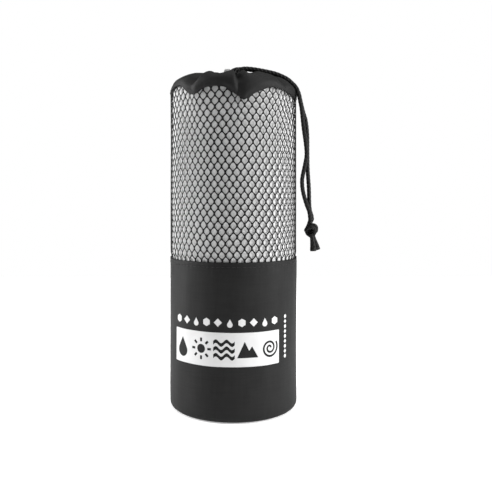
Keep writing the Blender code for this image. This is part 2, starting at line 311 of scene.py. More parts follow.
@dataclass(frozen=True)
class Finish:
    """One material: its colour, its gloss and its fine relief, whose grey goes into the colour: grain
    tone in the plain finish, painted shade and highlight in the patterned ones.
    """

    name: str
    colour: str
    second: str
    roughness: float
    specular: float = 0.5
    sheen: float = 0.0
    sheen_roughness: float = 0.5
    mottle_mm: float = 6.0
    bump_mm: float = 0.05
    glow: float = 0.0

    def build(self) -> bpy.types.Material:
        """Makes the material.

        Returns:
            A node material with mottled colour, the finish's own relief, and the relief's grey
            multiplied into the colour.
        """
        material = bpy.data.materials.new(self.name)
        material.use_nodes = True
        tree = material.node_tree
        shader = tree.nodes["Principled BSDF"]
        shader.inputs["Roughness"].default_value = self.roughness
        shader.inputs["Specular IOR Level"].default_value = self.specular
        shader.inputs["Sheen Weight"].default_value = self.sheen
        shader.inputs["Sheen Roughness"].default_value = self.sheen_roughness
        shader.inputs["Emission Color"].default_value = linear("#ffffff")
        shader.inputs["Emission Strength"].default_value = self.glow
        where = add_node(tree, "ShaderNodeTexCoord", {}, {})
        cloud = add_node(
            tree,
            "ShaderNodeTexNoise",
            {"Scale": 1 / (self.mottle_mm * MM), "Detail": 4.0, "Roughness": 0.6},
            {"Vector": where.outputs["Object"]},
        )
        mixed = add_node(
            tree,
            "ShaderNodeMix",
            {"data_type": "RGBA"},
            {0: cloud.outputs["Fac"]},
        )
        mixed.inputs[6].default_value = linear(self.colour)
        mixed.inputs[7].default_value = linear(self.second)
        # The relief's grey multiplies the colour: grain tone in the plain finish, and painted shade in
        # the hollows with painted highlight on the high parts in the woven, ribbed, braided and napped
        # finishes.
        relief, grain_and_painted_shade = self.relief(tree, where)
        shaded = add_node(
            tree,
            "ShaderNodeMix",
            {"data_type": "RGBA", "blend_type": "MULTIPLY"},
            {6: mixed.outputs[2], 7: grain_and_painted_shade},
        )
        shaded.inputs[0].default_value = 1.0
        tree.links.new(shaded.outputs[2], shader.inputs["Base Color"])
        bump = add_node(
            tree,
            "ShaderNodeBump",
            {"Strength": 1.0, "Distance": self.bump_mm * MM},
            {"Height": relief},
        )
        tree.links.new(bump.outputs["Normal"], shader.inputs["Normal"])
        return material

    def relief(
        self, tree: bpy.types.NodeTree, where: bpy.types.Node
    ) -> tuple[bpy.types.NodeSocket, bpy.types.NodeSocket]:
        """The fine pattern.

        Args:
            tree: The material's nodes.
            where: The texture coordinates.

        Returns:
            The socket of its height from 0 to 1, and of the grey that it multiplies the colour by:
            random grain tone, darker where the grain is lower.
        """
        grain = add_node(
            tree,
            "ShaderNodeTexNoise",
            {"Scale": 2500.0, "Detail": 3.0},
            {"Vector": where.outputs["Object"]},
        )
        return grain.outputs["Fac"], shade_range(tree, grain.outputs["Fac"], 0.85, 1.15)


def shade_range(
    tree: bpy.types.NodeTree, value: bpy.types.NodeSocket, low: float, high: float
) -> bpy.types.NodeSocket:
    """Spreads a value over a range of brightness.

    Args:
        tree: The material's nodes.
        value: A value from 0 to 1.
        low: The brightness at 0.
        high: The brightness at 1.

    Returns:
        The socket of a grey colour.
    """
    spread = add_node(
        tree, "ShaderNodeMapRange", {"To Min": low, "To Max": high}, {"Value": value}
    )
    grey = add_node(tree, "ShaderNodeCombineColor", {}, {k: spread.outputs[0] for k in range(3)})
    return grey.outputs[0]


def maths(
    tree: bpy.types.NodeTree, operation: str, *values: bpy.types.NodeSocket | float
) -> bpy.types.NodeSocket:
    """Adds one maths node.

    Args:
        tree: The material's nodes.
        operation: What it does.
        *values: Its inputs, each a socket or a number.

    Returns:
        The socket of its result.
    """
    node = add_node(tree, "ShaderNodeMath", {"operation": operation}, {})
    for place, value in enumerate(values):
        if isinstance(value, float):
            node.inputs[place].default_value = value
        else:
            tree.links.new(value, node.inputs[place])
    return node.outputs[0]


def wave(
    tree: bpy.types.NodeTree, along: bpy.types.NodeSocket, spacing: float
) -> bpy.types.NodeSocket:
    """A sine along a distance.

    Args:
        tree: The material's nodes.
        along: The distance in metres.
        spacing: How far apart its crests lie, in metres.

    Returns:
        The socket of the sine, from -1 to 1.
    """
    return maths(tree, "SINE", maths(tree, "MULTIPLY", along, 2 * math.pi / spacing))


def height_of(tree: bpy.types.NodeTree, value: bpy.types.NodeSocket) -> bpy.types.NodeSocket:
    """Brings a value from -1 to 1 to a height from 0 to 1."""
    ends = {"From Min": -1.0, "From Max": 1.0}
    return add_node(tree, "ShaderNodeMapRange", ends, {"Value": value}).outputs[0]


@dataclass(frozen=True)
class Woven(Finish):
    """Plain weave: warp and weft pass over each other, so each thread shows as a short bead, with
    painted shade between the beads and painted highlight on them.
    """

    thread_mm: float = 0.45
    slub_mm: float = 16.0
    slub_threads: float = 2.6
    # How dark the painted shade of the weave gets; the painted highlight on the beads rises as far
    # above 1.
    darkest_painted_shade: float = 0.55

    def relief(
        self, tree: bpy.types.NodeTree, where: bpy.types.Node
    ) -> tuple[bpy.types.NodeSocket, bpy.types.NodeSocket]:
        """The beads of the weave, read from the piece's UV map in metres.

        Args:
            tree: The material's nodes.
            where: The texture coordinates.

        Returns:
            The sockets of height and of the grey that paints shade where the weave and its slubs are
            low and highlight where they are high.
        """
        split = add_node(tree, "ShaderNodeSeparateXYZ", {}, {0: where.outputs["UV"]})
        across = wave(tree, split.outputs[0], 2 * self.thread_mm * MM)
        along = wave(tree, split.outputs[1], 2 * self.thread_mm * MM)
        height = height_of(tree, maths(tree, "MULTIPLY", across, along))
        fine_mm = self.thread_mm * self.slub_threads
        for across_mm, along_mm in ((fine_mm, self.slub_mm), (self.slub_mm, fine_mm)):
            drawn = add_node(tree, "ShaderNodeMapping", {}, {0: where.outputs["UV"]})
            drawn.inputs["Scale"].default_value = (1 / (across_mm * MM), 1 / (along_mm * MM), 1)
            slub = add_node(
                tree, "ShaderNodeTexNoise", {"Scale": 1.0, "Detail": 2.0}, {"Vector": drawn.outputs[0]}
            )
            height = maths(tree, "ADD", height, slub.outputs["Fac"])
        height = add_node(tree, "ShaderNodeMapRange", {"From Max": 3.0}, {"Value": height}).outputs[0]
        # Painted shade in the weave's hollows, painted highlight on its beads.
        return height, shade_range(tree, height, self.darkest_painted_shade, 2 - self.darkest_painted_shade)


@dataclass(frozen=True)
class Ribbed(Finish):
    """Grosgrain: fine raised ribs lie one above the other, with painted shade between the ribs and
    painted highlight on them.
    """

    rib_mm: float = 0.7

    def relief(
        self, tree: bpy.types.NodeTree, where: bpy.types.Node
    ) -> tuple[bpy.types.NodeSocket, bpy.types.NodeSocket]:
        """The ribs, stacked upwards.

        Args:
            tree: The material's nodes.
            where: The texture coordinates.

        Returns:
            The sockets of height and of the grey that paints shade between the ribs and highlight on
            them.
        """
        split = add_node(tree, "ShaderNodeSeparateXYZ", {}, {0: where.outputs["Object"]})
        height = height_of(tree, wave(tree, split.outputs[2], self.rib_mm * MM))
        # Painted shade in the grooves between the ribs, painted highlight on their crests.
        return height, shade_range(tree, height, 0.8, 1.15)


@dataclass(frozen=True)
class Braided(Finish):
    """A braid: two sets of strands cross on a slant round the cord, with painted shade between the
    strands and painted highlight on them.
    """

    lay_mm: float = 2.4
    round_mm: float = 8.2
    strands: int = 6

    def relief(
        self, tree: bpy.types.NodeTree, where: bpy.types.Node
    ) -> tuple[bpy.types.NodeSocket, bpy.types.NodeSocket]:
        """The crossing strands, read from a UV map with the way round in x and along in y.

        Args:
            tree: The material's nodes.
            where: The texture coordinates.

        Returns:
            The sockets of height and of the grey that paints shade between the strands and highlight on
            them.
        """
        split = add_node(tree, "ShaderNodeSeparateXYZ", {}, {0: where.outputs["UV"]})
        ways = []
        for lean in (1.0, -1.0):
            slope = lean * self.strands * self.lay_mm / self.round_mm / 2
            slant = maths(tree, "MULTIPLY", split.outputs[0], slope)
            along = maths(tree, "ADD", slant, split.outputs[1])
            ways.append(wave(tree, along, self.lay_mm * MM))
        height = height_of(tree, maths(tree, "MAXIMUM", *ways))
        # Painted shade in the grooves of the braid, painted highlight on its strands.
        return height, shade_range(tree, height, 0.6, 1.2)


@dataclass(frozen=True)
class Napped(Finish):
    """Microfibre terry: very short split fibres that scatter light and lie in small tufts, with painted
    shade between the tufts and painted highlight on their tops.
    """

    tuft_mm: float = 0.9

    def relief(
        self, tree: bpy.types.NodeTree, where: bpy.types.Node
    ) -> tuple[bpy.types.NodeSocket, bpy.types.NodeSocket]:
        """The tufts, and the fibres on them.

        Args:
            tree: The material's nodes.
            where: The texture coordinates.

        Returns:
            The sockets of height and of the grey that paints shade between the tufts and highlight on
            their tops.
        """
        tufts = add_node(
            tree,
            "ShaderNodeTexVoronoi",
            {"Scale": 1 / (self.tuft_mm * MM), "feature": "SMOOTH_F1", "Smoothness": 0.7},
            {"Vector": where.outputs["Object"]},
        )
        fibres = add_node(
            tree,
            "ShaderNodeTexNoise",
            {"Scale": 4 / (self.tuft_mm * MM), "Detail": 4.0, "Roughness": 0.7},
            {"Vector": where.outputs["Object"]},
        )
        high = maths(tree, "SUBTRACT", 1.0, tufts.outputs["Distance"])
        height = maths(tree, "MULTIPLY", high, fibres.outputs["Fac"])
        # Painted shade between the tufts, painted highlight on their tops.
        return height, shade_range(tree, height, 0.82, 1.12)


class Wardrobe:
    """All the finishes of the object, made once."""

    def __init__(self) -> None:
        """Makes every finish."""
        # Calendered 210 denier polyester: dark, closely woven, with a soft satin gloss; its weave shows
        # as painted shade between the threads and painted highlight on them.
        self.nylon = Woven(
            "woven_black_nylon", "#171717", "#222222", 0.6, 0.12, 0.0, 0.4, 18, 0.09, darkest_painted_shade=0.42
        ).build()
        # Warp-knitted polyester net: matt black yarn with a faint fuzz.
        self.net = Finish(
            "knitted_polyester_net", "#0b0b0b", "#141414", 0.65, 0.2, 0.02, 0.5, 1.5
        ).build()
        # Woven polypropylene tape: matt, with ribs across it, painted shade between the ribs and
        # painted highlight on them.
        self.tape = Ribbed("grosgrain_binding_tape", "#101010", "#181818", 0.8, 0.2).build()
        # Polyester loop tape in the towel's own light grey, with painted shade between its ribs and
        # painted highlight on them.
        self.loop_tape = Ribbed("grosgrain_loop_tape", "#a9a9a9", "#b6b6b6", 0.85).build()
        # Braided polyester cord: matt, with crossing strands lightened by painted highlight, and
        # painted shade between them.
        self.cord = Braided(
            "braided_polyester_cord", "#0c0c0c", "#131313", 0.62, 0.2, 0.04, 0.4, 3, 0.18
        ).build()
        # Spun polyester sewing thread, twisted.
        self.thread = Finish(
            "spun_sewing_thread", "#151515", "#1c1c1c", 0.6, 0.25, 0.05, 0.5, 0.8
        ).build()
        # White plastisol screen print: a thin matt skin that shows the weave under it, with faint
        # painted shade and highlight of the weave.
        self.ink = Woven(
            "screen_printed_ink", "#d2d2d2", "#c6c6c6", 0.65, 0.4, 0, 0.5, 8, 0.03, darkest_painted_shade=0.86
        ).build()
        # Brushed split microfibre: light grey, soft, with no gloss at all; painted shade darkens the
        # hollows between its tufts and painted highlight lightens their tops.
        self.microfibre = Napped(
            "brushed_microfibre", "#d6d6d6", "#e0e0e0", 1.0, 0.1, 0.1, 0.6, 12, 0.35
        ).build()
        # Seamless studio paper: plain and matt.
        self.paper = Finish(
            "seamless_paper", "#fbfbfb", "#fdfdfd", 0.95, 0.1, bump_mm=0.0, glow=0.38
        ).build()


# ---- the shape of the pouch's cloth -------------------------------------------------------------


@dataclass(frozen=True)
class Pleat:
    """A fold where the drawn-up casing sinks in, with its angles from the front in degrees."""

    at_hem: float
    at_mouth: float
    depth_mm: float
    left: float
    right: float
    starts: float = -1.0

    def share(self, angle: float, level: float) -> float:
        """How deep in the fold a place lies.

        Args:
            angle: The way round from the front, in degrees.
            level: 0 at the shoulder, 1 at the mouth.

        Returns:
            0 beside the fold, 1 at its bottom.
        """
        middle = self.at_hem + (self.at_mouth - self.at_hem) * level
        away = (angle - middle + 180) % 360 - 180
        share = 1 - min(1.0, abs(away) / (self.left if away < 0 else self.right))
        return share * share * (1.5 - 0.5 * share) * smooth_step((level - self.starts) / 0.3)


class Skin:
    """The surface that the nylon, the net and the casing follow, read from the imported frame."""

    # Over the shoulder to the lip, as (radius, height above the hem's mean) in millimetres.
    OVER_TOP: tuple[Flat, ...] = (
        (40.0, 3.5),
        (39.4, 6.7),
        (37.4, 9.5),
        (33.9, 11.4),
        (29.5, 12.5),
        (24.0, 13.4),
        (19.2, 14.2),
        (16.2, 14.4),
        (14.3, 13.5),
        (13.8, 12.0),
        (14.7, 10.7),
        (17.5, 10.1),
        (24.0, 9.6),
        (30.0, 8.8),
    )
    PLEATS: tuple[Pleat, ...] = (
        Pleat(-38, -12, 3.4, 20, 6),
        Pleat(-17, -18, 4.7, 9, 21, 0.1),
        Pleat(3.6, 1.0, 3.8, 3.6, 10),
        Pleat(16, 16, 4.2, 7, 12, 0.12),
        Pleat(50, 50, 1.7, 10, 6),
        Pleat(88, 85, 1.2, 8, 8),
        Pleat(112, 108, 2.6, 10, 8),
        Pleat(140, 143, 3.0, 7, 18),
        Pleat(176, 172, 3.2, 18, 8),
        Pleat(-149, -145, 2.6, 8, 18),
        Pleat(-113, -115, 3.2, 18, 7),
        Pleat(-82, -86, 2.0, 8, 14),
    )
    # The casing's lower edge: (degrees from the front, millimetres above the hem's mean).
    HEM: tuple[Flat, ...] = (
        (-170, 2.0),
        (-149, -3.2),
        (-130, 1.8),
        (-113, -2.8),
        (-95, 2.6),
        (-76, 3.6),
        (-54, 4.9),
        (-37, -1.8),
        (-26, 1.2),
        (-15, 2.0),
        (-8, 1.5),
        (-3, -0.5),
        (2, -3.1),
        (5, -4.3),
        (8.5, -6.0),
        (12, -4.5),
        (19, -1.7),
        (27, 0.8),
        (34, 2.4),
        (43.5, 1.9),
        (55, 0.6),
        (80, -1.4),
        (95, 2.0),
        (108, -2.4),
        (124, 2.2),
        (140, -3.4),
        (158, 2.4),
        (176, -3.0),
    )
    # Where the folds begin above the hem's mean, and how soon they are at their full depth.
    FOLD_START = 0.0030
    FOLD_RISE = 0.0060
    # The way along the cloth from the shoulder to the mouth.
    TOP_LENGTH = 0.034
    # The radius and the height above the hem's mean that the folds sink towards.
    SINK_RADIUS = 0.0295
    SINK_HEIGHT = 0.0035
    # How much the casing is drawn in for each metre towards the hanging cord.
    LEAN = 0.048
    # The fine creases of the casing: how fine they are, and their depth in metres.
    CREASES: tuple[Flat, ...] = ((3.1, 0.00035), (8.0, 0.00022))
    # The back seam's groove, the puckers at the waist, and the soft waves of the plain cloth.
    SEAM_DEPTH = 0.0005
    SEAM_WIDTH = 0.0007
    PUCKERS = 70
    PUCKER_DEPTH = 0.00006
    WAVE_DEPTH = 0.0004
    CREASE_DEPTH = 0.00026
    NET_WAVE_DEPTH = 0.00025

    def __init__(self) -> None:
        """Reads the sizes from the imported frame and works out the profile."""
        low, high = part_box("body_panel")
        self.radius = high[0]
        self.waist_z = high[2]
        self.base_z = low[2]
        self.hem_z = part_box("casing")[0][2]
        over = [(r * MM, 0.0, self.hem_z + z * MM) for r, z in self.OVER_TOP]
        curve = smooth_route(over, 0.0005)
        self.run = [Vector((self.radius, 0, self.waist_z)), *curve]
        self.lengths = [0.0]
        for start, end in zip(self.run, self.run[1:]):
            self.lengths.append(self.lengths[-1] + (end - start).length)
        self.shoulder_at = self.lengths[1]
        self.end_at = self.lengths[-1]

    def profile(self, along: float) -> tuple[Vector, Vector]:
        """A point of the profile and its way out.

        Args:
            along: The distance up the cloth from the waist, in metres.

        Returns:
            The point, and the direction out of the cloth there, both as (radius, 0, height).
        """
        along = min(max(along, -self.waist_z), self.end_at - 1e-6)
        if along <= self.shoulder_at:
            return Vector((self.radius, 0, self.waist_z + along)), Vector((1, 0, 0))
        low, high = 1, len(self.lengths) - 1
        while high - low > 1:
            middle = (low + high) // 2
            low, high = (middle, high) if self.lengths[middle] <= along else (low, middle)
        start, end = self.run[low], self.run[high]
        share = (along - self.lengths[low]) / (self.lengths[high] - self.lengths[low])
        way = (end - start).normalized()
        return start.lerp(end, share), Vector((way.z, 0, -way.x))

    def level(self, along: float) -> float:
        """How far a place lies from the shoulder, 0, to the mouth, 1."""
        return min(1.0, max(0.0, (along - self.shoulder_at) / self.TOP_LENGTH))

    def body_relief(self, turn: float, z: float) -> float:
        """How far the plain cloth stands in or out of its round.

        Args:
            turn: The way round from +X, in radians.
            z: The height above the base.

        Returns:
            The distance in metres.
        """
        wrap = Vector((math.cos(turn), math.sin(turn), 0))
        ends = smooth_step(z / 0.012) * smooth_step((self.waist_z - z) / 0.006)
        soft = noise.noise(Vector((wrap.x * 1.3, wrap.y * 1.3, z * 16)))
        creases = noise.noise(Vector((wrap.x * 5, wrap.y * 5, z * 14 + 7)))
        near_waist = 1 - smooth_step((self.waist_z - z) / 0.008)
        pucker = math.sin(turn * self.PUCKERS) * self.PUCKER_DEPTH * near_waist
        seam = abs((turn - math.pi / 2 + math.pi) % (2 * math.pi) - math.pi) * self.radius
        groove = self.SEAM_DEPTH * math.exp(-((seam / self.SEAM_WIDTH) ** 2)) * smooth_step(z / 0.004)
        return ends * (self.WAVE_DEPTH * soft + self.CREASE_DEPTH * creases) + pucker - groove

    def hem_height(self, angle: float) -> float:
        """Where the casing's lower edge lies.

        Args:
            angle: The way round from the front, in degrees.

        Returns:
            The distance up the cloth from the waist.
        """
        points = self.HEM
        count = len(points)
        angle = (angle - points[0][0]) % 360 + points[0][0]
        k = max(k for k in range(count) if points[k][0] <= angle)
        near = [points[(k + step) % count] for step in (-1, 0, 1, 2)]
        start, end = near[1][0], near[2][0] + (360 if k == count - 1 else 0)
        t = (angle - start) / (end - start)
        before, low, high, after = (point[1] for point in near)
        bend = (2 * before - 5 * low + 4 * high - after) * t**2
        twist = (3 * low - before - 3 * high + after) * t**3
        return self.hem_z - self.waist_z + MM * 0.5 * (2 * low + (high - before) * t + bend + twist)

    def place(self, angle: float, along: float, offset: float = 0.0) -> Vector:
        """A point on the folded cloth.

        Args:
            angle: The way round from the front, in degrees.
            along: The distance up the cloth from the waist.
            offset: How far outside the cloth's outer face the point lies.

        Returns:
            The point in the object's frame.
        """
        flat, out = self.profile(along)
        turned = math.radians(angle - 90)
        level = self.level(along)
        rise = smooth_step((flat.z - self.hem_z - self.FOLD_START) / self.FOLD_RISE)
        sink = 0.0
        if level:
            sink = max(MM * pleat.depth_mm * pleat.share(angle, level) for pleat in self.PLEATS)
        down = self.hem_z + self.SINK_HEIGHT - flat.z
        inward = Vector((min(0.0, self.SINK_RADIUS - flat.x), 0, down)).normalized()
        crumple = 0.0
        for fine, deep in self.CREASES:
            wrap = Vector((math.cos(turned) * fine, math.sin(turned) * fine, along * 30 * fine))
            crumple += deep * level * noise.noise(wrap)
        lean = self.LEAN * max(0.0, flat.x * math.cos(turned))
        moved = flat + inward * rise * (sink + lean) + out * (offset + crumple * rise)
        if along < self.shoulder_at:
            wrap = Vector((math.cos(turned) * 1.6, math.sin(turned) * 1.6, along * 22))
            moved.x += self.NET_WAVE_DEPTH * noise.noise(wrap) * smooth_step(along / 0.01)
        return Vector((moved.x * math.cos(turned), moved.x * math.sin(turned), moved.z))


# ---- the pouch ----------------------------------------------------------------------------------


@dataclass
class NylonBody:
    """The plain lower part: the wall turned under at the base, the base disc and their seams."""

    skin: Skin
    wardrobe: Wardrobe
    thickness: float = 0.0004
    corner: float = 0.0028
    under: float = 0.004
    above_waist: float = 0.0004
    sag: float = 0.00008
    steps: tuple[int, int] = (240, 90)

    def place(self, across: float, up: float) -> Vector:
        """A point of the wall.

        Args:
            across: The share of the way round, from the back seam.
            up: The share of the way up, from the edge turned under the base.

        Returns:
            The point in the object's frame.
        """
        turn = across * 2 * math.pi + math.pi / 2
        under, arc = self.under, self.corner * math.pi / 2
        height = self.skin.waist_z - self.skin.base_z + self.above_waist
        total = under + arc + height - self.corner
        along = up * total
        radius, z = self.skin.radius - self.corner, 0.0
        if along < under:
            radius -= under - along
        elif along < under + arc:
            bend = (along - under) / self.corner
            radius += self.corner * math.sin(bend)
            z = self.corner * (1 - math.cos(bend))
        else:
            radius = self.skin.radius
            z = self.corner + along - under - arc
        wrap = Vector((math.cos(turn), math.sin(turn), 0))
        radius += self.skin.body_relief(turn, z)
        return Vector((wrap.x * radius, wrap.y * radius, self.skin.base_z + z))

    def build(self) -> list[bpy.types.Object]:
        """Makes the wall and the base disc.

        Returns:
            Both pieces.
        """
        girth = 2 * math.pi * self.skin.radius
        wall = cloth_grid("nylon_wall", self.steps, (girth, self.skin.waist_z), self.place)
        tidy_mesh(wall, 1e-5)
        apply_modifier(wall, "SOLIDIFY", {"thickness": self.thickness, "offset": -1})
        wall.data.shade_smooth()
        dress(wall, self.wardrobe.nylon, Slot.NYLON, Body.POUCH)
        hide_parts("body_panel")
        disc = self.base_disc()
        return [wall, disc]

    def base_disc(self) -> bpy.types.Object:
        """The round base, with a faint sag between its seam and its middle.

        Returns:
            The disc.
        """
        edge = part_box("base_disc")[1][0]

        def place(across: float, up: float) -> Vector:
            """A point of the disc.

            Args:
                across: The share of the square grid's width.
                up: The share of its height.

            Returns:
                The point, with the square drawn to a circle.
            """
            x, y = 2 * across - 1, 2 * up - 1
            flat = Vector((x * math.sqrt(1 - y * y / 2), y * math.sqrt(1 - x * x / 2), 0))
            rumple = noise.noise(flat * 3) * self.sag * (1 - flat.length_squared)
            return Vector((flat.x * edge, flat.y * edge, self.skin.base_z + 0.0001 + abs(rumple)))

        disc = cloth_grid("nylon_base", (48, 48), (2 * edge, 2 * edge), place)
        apply_modifier(disc, "SOLIDIFY", {"thickness": self.thickness, "offset": 1})
        tidy_mesh(disc)
        dress(disc, self.wardrobe.nylon, Slot.NYLON, Body.POUCH)
        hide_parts("base_disc")
        return disc


@dataclass
class NetWall:
    """The net: one knitted cell, copied round and up, and laid on the wall."""

    skin: Skin
    wardrobe: Wardrobe
    columns: int = 57
    double_rows: int = 17
    row_pitch: float = 0.003445
    joint_length: float = 0.0015
    yarn_width: float = 0.00061
    joint_width: float = 0.00105
    yarn_height: float = 0.00020
    corner_round: float = 0.93
    below_waist: float = 0.0024
    offset: float = -0.00032
    tuck: float = 0.0006
    gather: float = 0.28
    gather_degrees: float = 11.0
    slack_degrees: float = 1.3
    slack_up: float = 0.0011

    def outline(self, pitch: float) -> list[Vector]:
        """The middle line of the yarn round one cell.

        Args:
            pitch: The distance from one cell to the next in its row.

        Returns:
            Six corners and the middles of six sides, in turn.
        """
        half, short = pitch / 2, self.joint_length / 2
        tall = self.row_pitch - short
        left = [(0, tall), (-half, short), (-half, -short)]
        right = [(0, -tall), (half, -short)]
        corners = [Vector((x, y, 0)) for x, y in [(half, short), *left, *right]]
        found = []
        for corner, following in zip(corners, corners[1:] + corners[:1]):
            found += [corner, (corner + following) / 2]
        return found

    def hole(self, pitch: float) -> list[Vector]:
        """The edge of one cell's hole, with its corners rounded.

        Args:
            pitch: The distance from one cell to the next in its row.

        Returns:
            A point for each one of the outline.
        """
        found = []
        for k, point in enumerate(self.outline(pitch)):
            side = abs(point.x) > pitch / 2 - 1e-7
            inset = self.joint_width / 2 if side else self.yarn_width / 2
            reach = point.length
            if k % 2 == 0:
                inset = inset + (1 - self.corner_round) * reach if side else inset * 1.3
                inset = max(inset, (1 - self.corner_round) * reach + self.yarn_width / 2)
            found.append(point * (1 - inset / reach))
        return found

    def cell(self, pitch: float) -> bpy.types.Object:
        """One cell: a ring of yarn with a rounded section, as a twelve-sided primitive pulled out.

        Args:
            pitch: The distance from one cell to the next in its row.

        Returns:
            The cell, flat in XY.
        """
        deselect()
        bpy.ops.mesh.primitive_circle_add(vertices=12, radius=pitch / 3, fill_type="NOTHING")
        cell = named("net")
        shape = bmesh.new()
        shape.from_mesh(cell.data)
        outline, hole = self.outline(pitch), self.hole(pitch)
        verts = sorted(shape.verts, key=lambda v: math.atan2(v.co.y, v.co.x) % (2 * math.pi))
        for vertex, place in zip(verts, self.by_angle(hole)):
            vertex.co = place
        levels = [(0.45, 0.86), (1.0, 1.0)]
        for side in (1, -1):
            inner = verts
            for share, height in levels:
                ring = []
                for start, end in zip(self.by_angle(hole), self.by_angle(outline)):
                    place = start.lerp(end, share)
                    ring.append(shape.verts.new((place.x, place.y, side * height * self.yarn_height)))
                for k in range(12):
                    following = (k + 1) % 12
                    face = [inner[k], inner[following], ring[following], ring[k]]
                    shape.faces.new(face if side < 0 else face[::-1])
                inner = ring
        shape.to_mesh(cell.data)
        shape.free()
        return cell

    def drawn_in(self, angle: float, along: float) -> Flat:
        """Where a place of the even net comes to lie in the real one.

        Args:
            angle: The way round from the front, in degrees.
            along: The distance up from the waist.

        Returns:
            The same two, with the net's slack and its gathers at the casing.
        """
        near = smooth_step((along - self.skin.hem_z + self.skin.waist_z + 0.030) / 0.030)
        turned = math.radians(angle)
        moved = angle
        for pleat in self.skin.PLEATS:
            away = (angle - pleat.at_hem + 180) % 360 - 180
            reach = math.exp(-((away / self.gather_degrees) ** 2))
            moved -= self.gather * near * away * reach * (pleat.starts < 0)
        where = Vector((math.cos(turned) * 1.7, math.sin(turned) * 1.7, along * 28))
        sideways, upward = noise.noise(where), noise.noise(where + Vector((9.3, -1.5, -7.9)))
        ease = smooth_step(along / 0.01)
        return moved + self.slack_degrees * sideways * ease, along + self.slack_up * upward * ease

    @staticmethod
    def by_angle(points: list[Vector]) -> list[Vector]:
        """The points in order of their way round the cell's middle."""
        return sorted(points, key=lambda p: math.atan2(p.y, p.x) % (2 * math.pi))

    def build(self) -> bpy.types.Object:
        """Copies the cell, wraps the net round the pouch and closes its ends.

        Returns:
            The net as one closed mesh.
        """
        girth = 2 * math.pi * self.skin.radius
        pitch = girth / self.columns
        net = self.cell(pitch)
        activate(net)
        bpy.ops.object.duplicate()
        second = bpy.context.object
        second.data.transform(Matrix.Translation((pitch / 2, self.row_pitch, 0)))
        net.select_set(True)
        bpy.context.view_layer.objects.active = net
        bpy.ops.object.join()
        plain = {"use_relative_offset": False, "use_constant_offset": True}
        for count, way in (
            (self.columns, (pitch, 0, 0)),
            (self.double_rows, (0, 2 * self.row_pitch, 0)),
        ):
            apply_modifier(net, "ARRAY", {**plain, "count": count, "constant_offset_displace": way})
        for vertex in net.data.vertices:
            angle = 180 + vertex.co.x / girth * 360
            along = vertex.co.y - self.below_waist
            angle, along = self.drawn_in(angle, along)
            gap = self.offset - self.tuck * smooth_step(1 - along / 0.004)
            vertex.co = self.skin.place(angle, along, gap + vertex.co.z)
        tidy_mesh(net, 2e-5)
        self.close(net)
        net.data.shade_smooth()
        dress(net, self.wardrobe.net, Slot.NET, Body.POUCH)
        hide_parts("mesh_panel")
        return net

    def close(self, net: bpy.types.Object) -> None:
        """Joins the net's two faces along its lower and its upper edge.

        Args:
            net: The net.
        """
        shape = bmesh.new()
        shape.from_mesh(net.data)
        open_edges = [edge for edge in shape.edges if edge.is_boundary]
        middle = (self.skin.waist_z + self.skin.hem_z) / 2
        for upper in (False, True):
            edges = [e for e in open_edges if (e.verts[0].co.z > middle) == upper]
            bmesh.ops.bridge_loops(shape, edges=edges)
        bmesh.ops.recalc_face_normals(shape, faces=shape.faces)
        shape.to_mesh(net.data)
        shape.free()


@dataclass
class Casing:
    """The doubled strip of nylon that the cord draws into folds round the mouth."""

    skin: Skin
    wardrobe: Wardrobe
    steps: tuple[int, int] = (480, 84)
    thickness: float = 0.0004
    strip_width: float = 0.052
    offset: float = 0.0002
    proud_side: float = 0.0002
    proud_front: float = 0.0010

    def place(self, across: float, up: float) -> Vector:
        """A point of the strip.

        Args:
            across: The share of the way round, from the back.
            up: The share of the way from the hem over the lip to the inside edge.

        Returns:
            The point in the object's frame.
        """
        angle = across * 360 - 180
        hem = self.skin.hem_height(angle)
        along = hem + (self.skin.end_at - hem) * up
        level = self.skin.level(along)
        fold = max(pleat.share(angle, level) for pleat in self.skin.PLEATS)
        facing = math.cos(math.radians(angle)) ** 2
        proud = self.proud_side + self.proud_front * facing
        proud = proud * (1 - fold) * smooth_step((along - hem) / 0.004)
        ends = 1 - smooth_step((level - 0.35) / 0.3)
        return self.skin.place(angle, along, self.offset + proud * ends)

    def build(self) -> bpy.types.Object:
        """Makes the strip with its folds.

        Returns:
            The casing.
        """
        size = (2 * math.pi * self.skin.radius, self.strip_width)
        casing = cloth_grid("casing_cloth", self.steps, size, self.place)
        tidy_mesh(casing, 1e-5)
        apply_modifier(casing, "SOLIDIFY", {"thickness": self.thickness, "offset": -1})
        casing.data.shade_smooth()
        dress(casing, self.wardrobe.nylon, Slot.NYLON, Body.POUCH)
        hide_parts("casing")
        return casing


# ---- the cord -----------------------------------------------------------------------------------


# How far one strand of the braid runs along the cord in one turn.
BRAID_LAY = 0.0024


